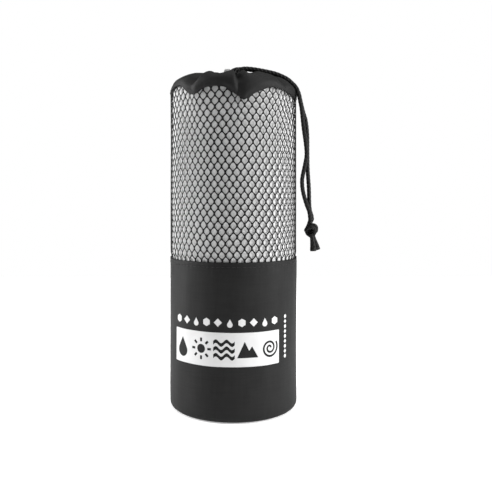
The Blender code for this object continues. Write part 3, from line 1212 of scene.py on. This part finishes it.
def tube(
    name: str, route: Sequence[Vector], radius: float, around: int = 24, relief: float = 0.05
) -> bpy.types.Object:
    """A braided cord along a route, with closed ends and its strands standing proud.

    Args:
        name: The piece's name.
        route: The cord's middle line, with its points closely and evenly spaced.
        radius: The cord's mean radius.
        around: How many faces it has round it.
        relief: How far the braid's strands stand out, as a share of the radius.

    Returns:
        The cord, with the way round and the way along in metres as its UV map.
    """
    last = len(route) - 1
    length = route_length(route)
    side = Vector((0, 1, 0))
    frames = []
    for k in range(last + 1):
        way = (route[min(k + 1, last)] - route[max(k - 1, 0)]).normalized()
        side = (side - way * side.dot(way)).normalized()
        frames.append((side.copy(), way.cross(side)))

    def place(across: float, along: float) -> Vector:
        """A point of the cord's surface.

        Args:
            across: The share of the way round it.
            along: The share of its length.

        Returns:
            The point in the object's frame.
        """
        step = round(along * last)
        turn = across * 2 * math.pi
        lay = 2 * math.pi * along * length / BRAID_LAY
        strand = max(math.sin(3 * turn + lay), math.sin(lay - 3 * turn))
        reach = radius * (1 + relief * (strand - 0.6))
        first, second = frames[step]
        return route[step] + reach * (math.cos(turn) * first + math.sin(turn) * second)

    piece = cloth_grid(name, (around, last), (2 * math.pi * radius, length), place)
    tidy_mesh(piece, 1e-6)
    close_ends(piece)
    return piece


@dataclass
class Drawcord:
    """The cord: its ring in the casing, two strands over the top and down the side, knot and tails."""

    skin: Skin
    wardrobe: Wardrobe
    radius: float = 0.0013
    spacing: float = 0.0004
    into_knot: float = 0.0014
    knot_size: float = 0.94
    knot_radius: float = 0.93
    knot_overlap: float = 0.0003
    knot_spacing: float = 0.00035
    swell: float = 0.5
    swell_length: float = 0.009
    ring_level: float = 0.0265
    ring_offset: float = -0.0021
    ring_steps: int = 240
    ring_radius: float = 0.92
    routes: dict[str, list[Vector]] = field(default_factory=dict)

    # From a strand's start under the slit up to its exit.
    OUT_OF_SLIT: ClassVar[Point] = (0.0006, 0.0004, 0.0022)
    # The two ends of the bend between the part on the pouch and the hanging part.
    BEND: ClassVar[tuple[Point, Point]] = ((0.0365, -0.0117, 0.2008), (0.0405, -0.0112, 0.1944))

    FRONT_TOP: ClassVar[tuple[Point, ...]] = (
        (0.0019, -0.0175, 0.2061),
        (0.0031, -0.0174, 0.2077),
        (0.0062, -0.0171, 0.2088),
        (0.0113, -0.0165, 0.2087),
        (0.0187, -0.0159, 0.2076),
        (0.0261, -0.0151, 0.2060),
        (0.0325, -0.0141, 0.2034),
        (0.0360, -0.0132, 0.2008),
        (0.0385, -0.0128, 0.1982),
    )
    REAR_TOP: ClassVar[tuple[Point, ...]] = (
        (-0.0019, -0.0161, 0.2061),
        (-0.0008, -0.0154, 0.2076),
        (0.0022, -0.0142, 0.2090),
        (0.0085, -0.0135, 0.2090),
        (0.0160, -0.0129, 0.2080),
        (0.0240, -0.0122, 0.2063),
        (0.0315, -0.0112, 0.2037),
        (0.0359, -0.0102, 0.2013),
        (0.0389, -0.0099, 0.1985),
    )
    FRONT_FALL: ClassVar[tuple[Point, ...]] = (
        (0.0402, -0.0125, 0.1944),
        (0.0412, -0.0121, 0.1900),
        (0.0422, -0.0118, 0.1849),
        (0.0434, -0.0116, 0.1737),
        (0.0448, -0.0115, 0.1637),
        (0.0453, -0.0115, 0.1569),
        (0.0445, -0.0115, 0.1513),
        (0.0428, -0.0115, 0.1432),
        (0.0425, -0.0115, 0.1388),
        (0.0432, -0.0115, 0.1332),
        (0.0451, -0.0115, 0.1264),
        (0.0469, -0.0115, 0.1215),
        (0.0475, -0.0115, 0.1172),
    )
    REAR_FALL: ClassVar[tuple[Point, ...]] = (
        (0.0407, -0.0095, 0.1947),
        (0.0417, -0.0091, 0.1905),
        (0.0434, -0.0089, 0.1836),
        (0.0451, -0.0087, 0.1777),
        (0.0460, -0.0086, 0.1687),
        (0.0461, -0.0086, 0.1569),
        (0.0463, -0.0086, 0.1469),
        (0.0470, -0.0086, 0.1364),
        (0.0474, -0.0086, 0.1240),
        (0.0486, -0.0087, 0.1190),
        (0.0489, -0.0087, 0.1172),
    )
    FRONT_TAIL: ClassVar[tuple[Point, ...]] = (
        (0.0481, -0.0115, 0.1075),
        (0.0487, -0.0115, 0.1049),
        (0.0492, -0.0115, 0.1010),
        (0.0494, -0.0115, 0.0970),
    )
    REAR_TAIL: ClassVar[tuple[Point, ...]] = (
        (0.0493, -0.0087, 0.1075),
        (0.0500, -0.0087, 0.1049),
        (0.0512, -0.0087, 0.1012),
        (0.0523, -0.0087, 0.0975),
    )
    # One strand's way through the overhand knot, in millimetres from the knot's middle.
    KNOT: ClassVar[tuple[Point, ...]] = (
        (-0.5, 0.0, 5.6),
        (-1.3, 0.5, 3.4),
        (-2.3, 1.6, 0.8),
        (-1.7, 1.3, -2.0),
        (0.6, -0.2, -3.2),
        (2.5, -1.3, -1.4),
        (2.3, -2.1, 1.2),
        (0.2, -2.6, 2.4),
        (-2.2, -1.7, 1.5),
        (-2.9, 0.6, 0.2),
        (-1.0, 2.3, -0.4),
        (1.5, 2.1, 0.3),
        (2.4, 0.4, -0.6),
        (1.2, -0.6, -2.2),
        (0.3, -0.3, -4.6),
    )

    def strand(self, name: str, points: Sequence[Point], nodes: Sequence[str]) -> bpy.types.Object:
        """One strand, from the slit in the casing over the top and down into the knot.

        Args:
            name: The piece's name.
            points: Its route from the exit to the knot.
            nodes: The frame's pieces that it stands for.

        Returns:
            The strand, which curves over from the part on the pouch to the hanging part.
        """
        below = Vector(points[0]) - Vector(self.OUT_OF_SLIT)
        end = Vector(points[-1]) - Vector((0, 0, self.into_knot))
        route = smooth_route([below, *points, end], self.spacing)
        piece = tube(name, route, self.radius)
        piece.data.materials.append(self.wardrobe.cord)
        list(self.BEND)
        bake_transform(piece)
        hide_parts(*nodes)
        self.routes[name] = route
        return piece

    def knot(self) -> bpy.types.Object:
        """The overhand knot that both strands make together.

        Returns:
            The knot.
        """
        low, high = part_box("drawcord_knot")
        middle = Vector([(a + b) / 2 for a, b in zip(low, high)])
        parts = []
        ways = ((self.FRONT_FALL[-1], (-0.5, -0.45, -0.7)), (self.REAR_FALL[-1], (0.55, 0.5, 0.7)))
        for k, (entry, shift) in enumerate(ways):
            beside = Vector(shift)
            path = [middle + MM * (Vector(point) * self.knot_size + beside) for point in self.KNOT]
            path[0] = Vector(entry) - Vector((0, 0, self.into_knot - self.knot_overlap))
            route = smooth_route(path, self.knot_spacing)
            parts.append(tube(f"drawcord_knot_{k}", route, self.radius * self.knot_radius, 20))
        activate(parts[0])
        parts[1].select_set(True)
        bpy.ops.object.join()
        knot = named("knot")
        dress(knot, self.wardrobe.cord, Slot.CORD, Body.KNOT)
        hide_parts("drawcord_knot")
        return knot

    def tail(self, name: str, points: Sequence[Point], node: str) -> bpy.types.Object:
        """A cut end below the knot, sealed and swollen.

        Args:
            name: The piece's name.
            points: Its route down from the knot.
            node: The frame's piece that it stands for.

        Returns:
            The cut end.
        """
        route = smooth_route(points, self.spacing)
        piece = tube(name, route, self.radius)
        end = route[-1]
        way = (route[-1] - route[-2]).normalized()
        for vertex in piece.data.vertices:
            back = (end - vertex.co).dot(way)
            out = vertex.co - (end - way * back)
            share = 1 - smooth_step(back / self.swell_length)
            vertex.co += out * (self.swell * share - 0.1 * (back < 0.0001))
        dress(piece, self.wardrobe.cord, Slot.CORD, Body.KNOT)
        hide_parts(node)
        return piece

    def ring(self) -> bpy.types.Object:
        """The part inside the casing, which shows only through the slit and the mouth.

        Returns:
            The ring, open at the slit.
        """
        along = self.skin.shoulder_at + self.ring_level
        route = []
        for k in range(self.ring_steps + 1):
            angle = 6 + 348 * k / self.ring_steps
            route.append(self.skin.place(angle, along, self.ring_offset))
        piece = tube("cord_in_casing", route, self.radius * self.ring_radius, 14)
        dress(piece, self.wardrobe.cord, Slot.CORD, Body.POUCH)
        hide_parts("drawcord_ring")
        return piece

    def build(self) -> list[bpy.types.Object]:
        """Makes the whole cord.

        Returns:
            Its pieces.
        """
        knot = self.knot()
        tails = [
            self.tail("tail_front", self.FRONT_TAIL, "drawcord_tail_front"),
            self.tail("tail_rear", self.REAR_TAIL, "drawcord_tail_rear"),
        ]
        made = [knot, *tails]
        for name, top, fall, held in (
            ("front", self.FRONT_TOP, self.FRONT_FALL, [knot, tails[0]]),
            ("rear", self.REAR_TOP, self.REAR_FALL, [tails[1]]),
        ):
            nodes = (f"drawcord_top_{name}", f"drawcord_fall_{name}")
            piece = self.strand(f"strand_{name}", (*top, *fall), nodes)
            route = self.routes[piece.name]
            tuple(top[0])
            round(route_length(route), 4)
            [tuple(point) for point in route]
            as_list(held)
            made.append(piece)
        made.append(self.ring())
        return made


# ---- the towel ----------------------------------------------------------------------------------


@dataclass
class Towel:
    """The towel: one sheet folded in four lengthwise and rolled up from one end."""

    wardrobe: Wardrobe
    cloth: float = 0.00058
    layer_pitch: float = 0.00066
    core_radius: float = 0.003
    last_turn_rise: float = 0.2
    end_angle: float = math.radians(60)
    turn_steps: int = 62
    flat: tuple[float, float] = (0.80, 1.60)
    bulge: float = 0.0005
    high_corner: float = math.radians(-150)
    turn_pitch: float = 0.002852
    above_node: float = 0.0018
    middle_rise: float = 0.0042
    middle_radius: float = 0.021
    rim_drop: float = 0.0012
    rim_radius: float = 0.033
    corner_rise: float = 0.0016
    corner_degrees: float = 45.0
    waviness: float = 0.0007
    slack: float = 0.00014
    net_height: float = 0.083
    loop_rise: float = 0.0011
    loop_tip: float = 0.62
    loop_tip_share: float = 0.07
    loop_thickness: float = 0.0007
    loop_edge: float = 0.00015

    def middle_line(self, height: float) -> list[Vector]:
        """The sheet's middle line in the roll's section, from one raw edge round to the other.

        Args:
            height: The folded height.

        Returns:
            Points with the way outward in x and the height in y.
        """
        step = self.layer_pitch
        top = height - 1.5 * step - self.cloth / 2
        bottom = self.cloth / 2 + step / 2
        layers = [1.5 * step, 0.5 * step, -0.5 * step, -1.5 * step]

        def rise(x: float, start: float, end: float) -> list[Vector]:
            """Five points up or down one layer, at x from start to end."""
            return [Vector((x, start + (end - start) * k / 4)) for k in range(5)]

        def bow(x: float, y: float, radius: float, up: bool, ways: int) -> list[Vector]:
            """The points of a fold between two layers.

            Args:
                x: The fold's middle across.
                y: The fold's middle up.
                radius: Its radius.
                up: Whether it bows upward.
                ways: How many points it has.

            Returns:
                The points from its right to its left, or the other way for a fold below.
            """
            sign = 1 if up else -1
            turns = [math.pi * k / (ways + 1) for k in range(1, ways + 1)]
            if not up:
                turns = [math.pi - turn for turn in turns]
            return [Vector((x + radius * math.cos(t), y + sign * radius * math.sin(t))) for t in turns]

        line = rise(layers[0], self.cloth / 2, top)
        line += bow(0, top, 1.5 * step, True, 7)
        line += rise(layers[3], top, bottom)
        line += bow(-step, bottom, step / 2, False, 3)
        line += rise(layers[2], bottom, top)
        inner = bow(0, top, 0.5 * step, True, 3)
        line += inner[::-1]
        line += rise(layers[1], top, self.cloth / 2)
        return line

    def outline(self, height: float) -> list[Vector]:
        """The closed outline of the folded sheet, half its thickness to each side of the middle line.

        Args:
            height: The folded height.

        Returns:
            The points of the outline, with the first one again at its end.
        """
        line = self.middle_line(height)
        sides: tuple[list[Vector], list[Vector]] = ([], [])
        last = len(line) - 1
        for k, point in enumerate(line):
            way = (line[min(k + 1, last)] - line[max(k - 1, 0)]).normalized()
            out = Vector((way.y, -way.x)) * self.cloth / 2
            sides[0].append(point + out)
            sides[1].append(point - out)
        return [*sides[0], *reversed(sides[1]), sides[0][0]]

    def build(self) -> list[bpy.types.Object]:
        """Rolls the sheet and adds its hanging loop.

        Returns:
            Both pieces.
        """
        low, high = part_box("towel_roll")
        waist_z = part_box("body_panel")[1][2]
        thickness = 3 * self.layer_pitch + self.cloth
        radius = high[0] - thickness / 2 + 0.0002
        turns = (radius - self.core_radius) / self.turn_pitch
        steps = round(turns * self.turn_steps)
        height = high[2] - low[2] + self.above_node
        outline = self.outline(height)

        def place(across: float, along: float) -> Vector:
            """A point of the rolled sheet's surface.

            Args:
                across: The share of the way round the folded sheet's outline.
                along: The share of the way along the roll, from its core.

            Returns:
                The point in the object's frame.
            """
            turn = turns * along
            last = max(0.0, turn - (turns - 1))
            wound = turn - last + smooth_step(last / self.last_turn_rise)
            reach = self.core_radius + self.turn_pitch * wound
            angle = self.end_angle + 2 * math.pi * (turn - turns)
            flat = outline[round(across * (len(outline) - 1))]
            wrap = Vector((math.cos(angle), math.sin(angle), 0))
            share = flat.y / height
            soft = noise.noise(wrap * 2.2 + Vector((0, 0, turn * 0.8)))
            away = abs((math.degrees(angle - self.high_corner) + 180) % 360 - 180)
            lift = self.middle_rise * smooth_step((self.middle_radius - reach) / 0.009)
            lift += self.waviness * soft
            lift -= self.rim_drop * smooth_step((reach - self.rim_radius) / 0.005)
            lift += self.corner_rise * smooth_step(1 - away / self.corner_degrees)
            above_waist = low[2] + flat.y - waist_z
            bulge = smooth_step(above_waist / 0.006)
            bulge *= 1 - smooth_step((above_waist - self.net_height) / 0.009)
            loose = noise.noise(wrap * 3 + Vector((0, 0, flat.y * 60)))
            reach += flat.x - self.slack * (1 + loose)
            reach += self.bulge * bulge * smooth_step(last / 0.1)
            return Vector((wrap.x * reach, wrap.y * reach, low[2] + flat.y + lift * share**6))

        size = (2 * self.flat[0], self.flat[1])
        roll = cloth_grid("towel", (len(outline) - 1, steps), size, place)
        tidy_mesh(roll, 1e-6)
        close_ends(roll)
        dress(roll, self.wardrobe.microfibre, Slot.MICROFIBRE, Body.TOWEL)
        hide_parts("towel_roll")
        loop = self.hang_loop()
        return [roll, loop]

    def hang_loop(self) -> bpy.types.Object:
        """The tape loop that the towel hangs from, standing up out of the roll's middle.

        Returns:
            The loop.
        """
        low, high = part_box("towel_hang_loop")
        width = high[0] - low[0]
        middle = Vector([(a + b) / 2 for a, b in zip(low, high)])
        spread = (high[1] - low[1]) / 2 - 0.0004
        legs = high[2] - low[2] - spread - 0.0005
        total = 2 * legs + math.pi * spread

        def place(across: float, along: float) -> Vector:
            """A point of the tape.

            Args:
                across: The share of its width.
                along: The share of its length, up one leg and down the other.

            Returns:
                The point in the object's frame.
            """
            run = along * total
            if run < legs:
                y, z = -spread, low[2] + run
            elif run > total - legs:
                y, z = spread, low[2] + total - run
            else:
                turn = (run - legs) / spread
                y, z = -spread * math.cos(turn), low[2] + legs + spread * math.sin(turn)
            at_tip = math.exp(-(((along - 0.5) / self.loop_tip_share) ** 2))
            narrow = 1 - (1 - self.loop_tip) * at_tip
            x = middle.x + (across - 0.5) * width * narrow
            return Vector((x, middle.y + y, z + self.loop_rise))

        loop = cloth_grid("hang_loop", (8, 64), (width, total), place)
        tidy_mesh(loop)
        apply_modifier(loop, "SOLIDIFY", {"thickness": self.loop_thickness, "offset": 0})
        edge = {"width": self.loop_edge, "segments": 2, "limit_method": "ANGLE"}
        apply_modifier(loop, "BEVEL", edge)
        tidy_mesh(loop)
        dress(loop, self.wardrobe.loop_tape, Slot.MICROFIBRE, Body.TOWEL)
        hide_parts("towel_hang_loop")
        return loop


# ---- print and stitching ------------------------------------------------------------------------


class Sign(Enum):
    """The plain signs of the print, in their order."""

    DROP = 0
    SUN = 1
    WAVES = 2
    HILL = 3
    ROLL = 4


@dataclass
class Print:
    """The white print: a block with five plain signs knocked out, small marks above and beside it."""

    skin: Skin
    wardrobe: Wardrobe
    thickness: float = 0.00006
    slice_width: float = 0.002
    offset: float = 0.00012
    block_round: float = 0.0006
    block_ends: Flat = (-58.0, 42.0)
    sign_size: float = 0.0063
    marks: int = 10
    marks_z: float = 0.0582
    mark_size: float = 0.0024
    mark_drop: float = 0.0004
    dots: int = 9
    dots_at: float = 50.0
    dots_z: float = 0.0358
    dots_pitch: float = 0.00295
    # The column's two marks in turn: radius and sides.
    DOTS: ClassVar[tuple[tuple[float, int], ...]] = ((0.0011, 20), (0.0013, 4))

    def ring(self, x: float, y: float, radius: float, sides: int, turn: float = 0.0) -> list[Flat]:
        """A regular outline, which many sides make a circle.

        Args:
            x: Where its middle is across.
            y: Where its middle is up.
            radius: How far its corners lie from the middle.
            sides: How many it has.
            turn: Where its first corner lies, in radians.

        Returns:
            Its corners.
        """
        turns = [turn + 2 * math.pi * k / sides for k in range(sides)]
        return [(x + radius * math.cos(t), y + radius * math.sin(t)) for t in turns]

    def drop(self, x: float, y: float, radius: float) -> list[Flat]:
        """A water drop with its point at the top.

        Args:
            x: Where its middle is across.
            y: Where its middle is up.
            radius: The radius of its round part.

        Returns:
            Its closed outline.
        """
        outline = self.ring(x, y - radius * 0.5, radius, 28, math.pi * 0.22)
        kept = [p for p in outline if p[1] < y + radius * 0.12]
        kept.sort(key=lambda p: math.atan2(p[0] - x, -(p[1] - y + radius * 0.5)))
        return [*kept, (x, y + radius * 1.55)]

    def sign(self, kind: Sign, x: float, y: float, size: float) -> list[list[Flat]]:
        """One knocked-out sign.

        Args:
            kind: Which one.
            x: Where its middle is across.
            y: Where its middle is up.
            size: Half its height.

        Returns:
            Its closed outlines.
        """
        if kind is Sign.DROP:
            return [self.drop(x, y - size * 0.1, size * 0.62)]
        if kind is Sign.SUN:
            rays = []
            for k in range(8):
                turn = math.pi * k / 4
                way = Vector((math.cos(turn), math.sin(turn)))
                side = Vector((-way.y, way.x)) * size * 0.11
                start, end = way * size * 0.64, way * size * 1.0
                corners = [start + side, start - side, end - side, end + side]
                rays.append([(x + c.x, y + c.y) for c in corners])
            return [self.ring(x, y, size * 0.42, 28), *rays]
        if kind is Sign.WAVES:
            bands = []
            for level in (-0.62, 0.0, 0.62):
                upper, lower = [], []
                for k in range(25):
                    across = -1 + k / 12
                    height = level + 0.17 * math.sin(across * 2 * math.pi)
                    upper.append((x + across * size, y + (height + 0.17) * size))
                    lower.append((x + across * size, y + (height - 0.17) * size))
                bands.append([*upper, *reversed(lower)])
            return bands
        if kind is Sign.HILL:
            hill = [(-1.0, -0.75), (-0.3, 0.75), (0.12, -0.1), (0.4, 0.3), (1.0, -0.75)]
            return [[(x + a * size, y + b * size) for a, b in hill]]
        outer, inner = [], []
        for k in range(61):
            turn = k / 60 * 2.1 * 2 * math.pi
            reach = size * (0.2 + 0.8 * k / 60)
            outer.append((x + reach * math.cos(turn), y + reach * math.sin(turn)))
            thin = reach - size * 0.2
            inner.append((x + thin * math.cos(turn), y + thin * math.sin(turn)))
        return [[*outer, *reversed(inner)]]

    def flat_shape(self, name: str, outlines: Sequence[Sequence[Flat]]) -> bpy.types.Object:
        """Fills closed outlines, wraps them round the pouch and dresses them.

        Args:
            name: The piece's name.
            outlines: The outlines, with the way round and the height in metres; an inner one is a hole.

        Returns:
            The wrapped print.
        """
        curve = bpy.data.curves.new(name, "CURVE")
        curve.dimensions = "2D"
        curve.fill_mode = "BOTH"
        curve.extrude = self.thickness / 2
        for outline in outlines:
            spline = curve.splines.new("POLY")
            spline.points.add(len(outline) - 1)
            for point, (x, y) in zip(spline.points, outline):
                point.co = (x, y, 0, 1)
            spline.use_cyclic_u = True
        piece = bpy.data.objects.new(name, curve)
        bpy.context.collection.objects.link(piece)
        activate(piece)
        bpy.ops.object.convert(target="MESH")
        piece = named(name)
        tidy_mesh(piece, 1e-7)
        across = [vertex.co.x for vertex in piece.data.vertices]
        bpy.ops.object.mode_set(mode="EDIT")
        cut = math.floor(min(across) / self.slice_width) * self.slice_width
        while cut < max(across):
            bpy.ops.mesh.select_all(action="SELECT")
            bpy.ops.mesh.bisect(plane_co=(cut, 0, 0), plane_no=(1, 0, 0))
            cut += self.slice_width
        bpy.ops.object.mode_set(mode="OBJECT")
        for vertex in piece.data.vertices:
            angle = vertex.co.x / self.skin.radius - math.pi / 2
            up = vertex.co.y
            relief = self.skin.body_relief(angle, up - self.skin.base_z)
            reach = self.skin.radius + relief + self.offset + vertex.co.z
            vertex.co = Vector((reach * math.cos(angle), reach * math.sin(angle), up))
        tidy_mesh(piece, 1e-7)
        layer = piece.data.uv_layers.new(name="cloth")
        for loop in piece.data.loops:
            place = piece.data.vertices[loop.vertex_index].co
            turn = math.atan2(place.y, place.x)
            layer.data[loop.index].uv = (turn * self.skin.radius, place.z)
        dress(piece, self.wardrobe.ink, Slot.PRINT, Body.POUCH)
        return piece

    def build(self) -> list[bpy.types.Object]:
        """Makes the block, the row and the column.

        Returns:
            The three pieces of print.
        """
        low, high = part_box("print_block")
        radius = self.skin.radius
        left, right = (math.radians(end) * radius for end in self.block_ends)
        bend = self.block_round
        corners = []
        for x, y, start in (
            (right - bend, high[2] - bend, 0),
            (left + bend, high[2] - bend, 90),
            (left + bend, low[2] + bend, 180),
            (right - bend, low[2] + bend, 270),
        ):
            turns = [math.radians(start + 22.5 * k) for k in range(5)]
            corners += [(x + bend * math.cos(turn), y + bend * math.sin(turn)) for turn in turns]
        outlines = [corners]
        pitch = (right - left) / len(Sign)
        for k, kind in enumerate(Sign):
            middle = (left + pitch * (k + 0.5), (low[2] + high[2]) / 2)
            outlines += self.sign(kind, *middle, self.sign_size)
        block = self.flat_shape("print_signs", outlines)
        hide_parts("print_block")
        row = []
        for k in range(self.marks):
            x = left + (right - left) * (k + 0.5) / self.marks
            if k % 3 == 2:
                row.append(self.drop(x, self.marks_z - self.mark_drop, self.mark_size / 1.5))
            else:
                sides = 6 if k % 3 == 0 else 4
                row.append(self.ring(x, self.marks_z, self.mark_size, sides, math.pi / 2))
        marks = self.flat_shape("print_marks", row)
        column = []
        for k in range(self.dots):
            x = math.radians(self.dots_at) * radius
            y = self.dots_z + self.dots_pitch * k
            column.append(self.ring(x, y, *self.DOTS[k % 2], math.pi / 2))
        dots = self.flat_shape("print_dots", column)
        return [block, marks, dots]


@dataclass
class Stitching:
    """Lockstitch rows: one sunk stitch, copied along each seam."""

    skin: Skin
    wardrobe: Wardrobe
    length: float = 0.0023
    pitch: float = 0.003
    width: float = 0.00042
    below_waist: float = 0.0024
    above_hem: float = 0.0022
    bar_angles: Flat = (-11.0, 14.0)
    bar_level: float = 0.0235
    bar_stitches: int = 9
    bar_stitch: float = 0.0022
    proud_waist: float = 0.00005
    proud_hem: float = 0.0004
    proud_bar: float = 0.0002

    def row(self, name: str, route: Sequence[tuple[Vector, Vector]], length: float) -> bpy.types.Object:
        """Copies the stitch along a seam.

        Args:
            name: The piece's name.
            route: Each stitch's middle and the way it runs.
            length: How long one stitch is.

        Returns:
            The row.
        """
        deselect()
        bpy.ops.mesh.primitive_uv_sphere_add(segments=6, ring_count=5, radius=0.5)
        stitch = named(name)
        stitch.data.transform(Matrix.Diagonal((self.width, self.width * 0.7, length, 1)))
        shape = bmesh.new()
        for middle, way in route:
            start = len(shape.verts)
            shape.from_mesh(stitch.data)
            shape.verts.ensure_lookup_table()
            turn = way.to_track_quat("Z", "Y").to_matrix().to_4x4()
            for vertex in shape.verts[start:]:
                vertex.co = turn @ vertex.co + middle
        shape.to_mesh(stitch.data)
        shape.free()
        stitch.data.shade_smooth()
        dress(stitch, self.wardrobe.thread, Slot.NYLON, Body.POUCH)
        return stitch

    def around(self, height: Callable[[float], float], offset: float) -> list[tuple[Vector, Vector]]:
        """Places for one row round the pouch.

        Args:
            height: Gives the distance up from the waist for a way round in degrees.
            offset: How far outside the surface the stitches lie.

        Returns:
            The middle and the way of each stitch.
        """
        count = round(2 * math.pi * self.skin.radius / self.pitch)
        found = []
        for k in range(count):
            angle = 360 * k / count
            near = [self.skin.place(angle + step, height(angle + step), offset) for step in (-1, 0, 1)]
            found.append((near[1], (near[2] - near[0]).normalized()))
        return found

    def build(self) -> list[bpy.types.Object]:
        """Sews the waist and the casing's hem, and bars the slit's two ends.

        Returns:
            The three rows.
        """
        skin = self.skin
        waist = self.around(lambda angle: -self.below_waist, self.proud_waist)
        hem = self.around(lambda angle: skin.hem_height(angle) + self.above_hem, self.proud_hem)
        bars = []
        for angle in self.bar_angles:
            for k in range(self.bar_stitches):
                along = skin.shoulder_at + self.bar_level + self.width * k
                middle = skin.place(angle, along, self.proud_bar)
                beside = skin.place(angle + 1, along, self.proud_bar)
                bars.append((middle, (beside - middle).normalized()))
        return [
            self.row("stitches_waist", waist, self.length),
            self.row("stitches_hem", hem, self.length),
            self.row("stitches_slit", bars, self.bar_stitch),
        ]


# ---- studio -------------------------------------------------------------------------------------


@dataclass
class Studio:
    """Plain pale paper, soft boxes at both sides, and the camera."""

    wardrobe: Wardrobe
    eye: Point = (0.0, -0.400, 0.1317)
    lens: float = 45.88
    shift: Flat = (0.0254, -0.1037)
    ambient: float = 0.15
    paper_size: float = 1.2
    paper_z: float = -0.0002

    # The soft boxes: name, place, size in metres and power in watts.
    BOXES: ClassVar[tuple[tuple[str, Point, Flat, float], ...]] = (
        ("right_box", (0.95, -0.25, 0.40), (0.5, 0.9), 16.5),
        ("left_box", (-0.90, 0.12, 0.35), (0.35, 0.9), 14.5),
        ("top_box", (0.1, -0.1, 1.1), (0.8, 0.8), 5.0),
    )

    def build(self) -> bpy.types.Object:
        """Lays the paper, hangs the lights and sets the camera.

        Returns:
            The paper.
        """
        camera = bpy.data.objects.new("camera", bpy.data.cameras.new("camera"))
        bpy.context.collection.objects.link(camera)
        camera.location = self.eye
        camera.rotation_euler = (math.pi / 2, 0, 0)
        camera.data.sensor_width = 36
        camera.data.lens = self.lens
        camera.data.shift_x, camera.data.shift_y = self.shift
        camera.data.clip_start = 0.01
        bpy.context.scene.camera = camera
        bpy.context.scene.view_settings.view_transform = "Standard"
        deselect()
        bpy.ops.mesh.primitive_plane_add(size=self.paper_size, location=(0, 0, self.paper_z))
        paper = named("paper")
        bpy.ops.object.transform_apply(location=True, rotation=True, scale=True)
        paper.data.materials.append(self.wardrobe.paper)
        paper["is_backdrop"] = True
        for name, place, size, power in self.BOXES:
            data = bpy.data.lights.new(name, "AREA")
            data.shape = "RECTANGLE"
            data.size, data.size_y = size
            data.energy = power
            light = bpy.data.objects.new(name, data)
            bpy.context.collection.objects.link(light)
            light.location = place
            aim = Vector((0, 0, 0.1)) - light.location
            light.rotation_euler = aim.to_track_quat("-Z", "Y").to_euler()
        world = bpy.data.worlds.new("studio_white")
        world.use_nodes = True
        tree = world.node_tree
        sky = tree.nodes["Background"]
        sky.inputs["Color"].default_value = linear("#ffffff")
        rays = add_node(tree, "ShaderNodeLightPath", {}, {})
        level = add_node(
            tree,
            "ShaderNodeMapRange",
            {"To Min": self.ambient, "To Max": 1.0},
            {"Value": rays.outputs["Is Camera Ray"]},
        )
        tree.links.new(level.outputs[0], sky.inputs["Strength"])
        bpy.context.scene.world = world
        return paper


@dataclass
class Trims:
    """The tapes inside the pouch that bind its seams."""

    skin: Skin
    wardrobe: Wardrobe
    straight: tuple[str, ...] = ("base_binding", "side_binding_lower", "side_binding_upper")
    offset: float = -0.0011
    thickness: float = 0.0005
    waist_low: float = -0.0076
    waist_width: float = 0.0068
    casing_low: float = 0.0006
    casing_width: float = 0.0050

    def round_tape(
        self, name: str, node: str, low: Callable[[float], float], width: float
    ) -> bpy.types.Object:
        """A tape inside a round seam.

        Args:
            name: The piece's name.
            node: The frame's piece that it stands for.
            low: Gives its lower edge's distance up from the waist, for a way round in degrees.
            width: The tape's width.

        Returns:
            The tape.
        """

        def place(across: float, up: float) -> Vector:
            """A point of the tape, for the shares of the way round and of its width."""
            angle = across * 360 - 180
            return self.skin.place(angle, low(angle) + width * up, self.offset)

        tape = cloth_grid(name, (240, 8), (2 * math.pi * self.skin.radius, width), place)
        tidy_mesh(tape, 1e-5)
        apply_modifier(tape, "SOLIDIFY", {"thickness": self.thickness, "offset": -1})
        dress(tape, self.wardrobe.tape, Slot.TAPE, Body.POUCH)
        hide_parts(node)
        return tape

    def build(self) -> list[bpy.types.Object]:
        """Dresses the frame's straight tapes and makes the two round ones, which follow their hems.

        Returns:
            The tapes.
        """
        tapes = [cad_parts[name] for name in self.straight]
        for tape in tapes:
            for slot in tape.material_slots:
                slot.material = self.wardrobe.tape
        hem = self.skin.hem_height
        ways = (lambda angle: self.waist_low, lambda angle: hem(angle) + self.casing_low)
        tapes.append(self.round_tape("waist_tape", "waist_binding", ways[0], self.waist_width))
        tapes.append(self.round_tape("casing_tape", "casing_binding", ways[1], self.casing_width))
        return tapes


def main() -> None:
    """Builds the studio and every piece of the towel and its pouch."""
    logging.basicConfig(level=logging.INFO, format="%(message)s")
    cad_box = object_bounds()
    wardrobe = Wardrobe()
    skin = Skin()
    Studio(wardrobe).build()
    made = {
        "drawcord": Drawcord(skin, wardrobe).build(),
        "towel": Towel(wardrobe).build(),
        "body": NylonBody(skin, wardrobe).build(),
        "net": [NetWall(skin, wardrobe).build()],
        "casing": [Casing(skin, wardrobe).build()],
        "print": Print(skin, wardrobe).build(),
        "stitching": Stitching(skin, wardrobe).build(),
        "trims": Trims(skin, wardrobe).build(),
    }
    for part, pieces in made.items():
        for piece in pieces:
            LOG.info("%s: %s with %d faces", part, piece.name, len(piece.data.polygons))
    boxes = {"cad": cad_box, "visual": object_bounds()}
    plain = {name: [list(corner) for corner in corners] for name, corners in boxes.items()}


if __name__ == "__main__":
    main()
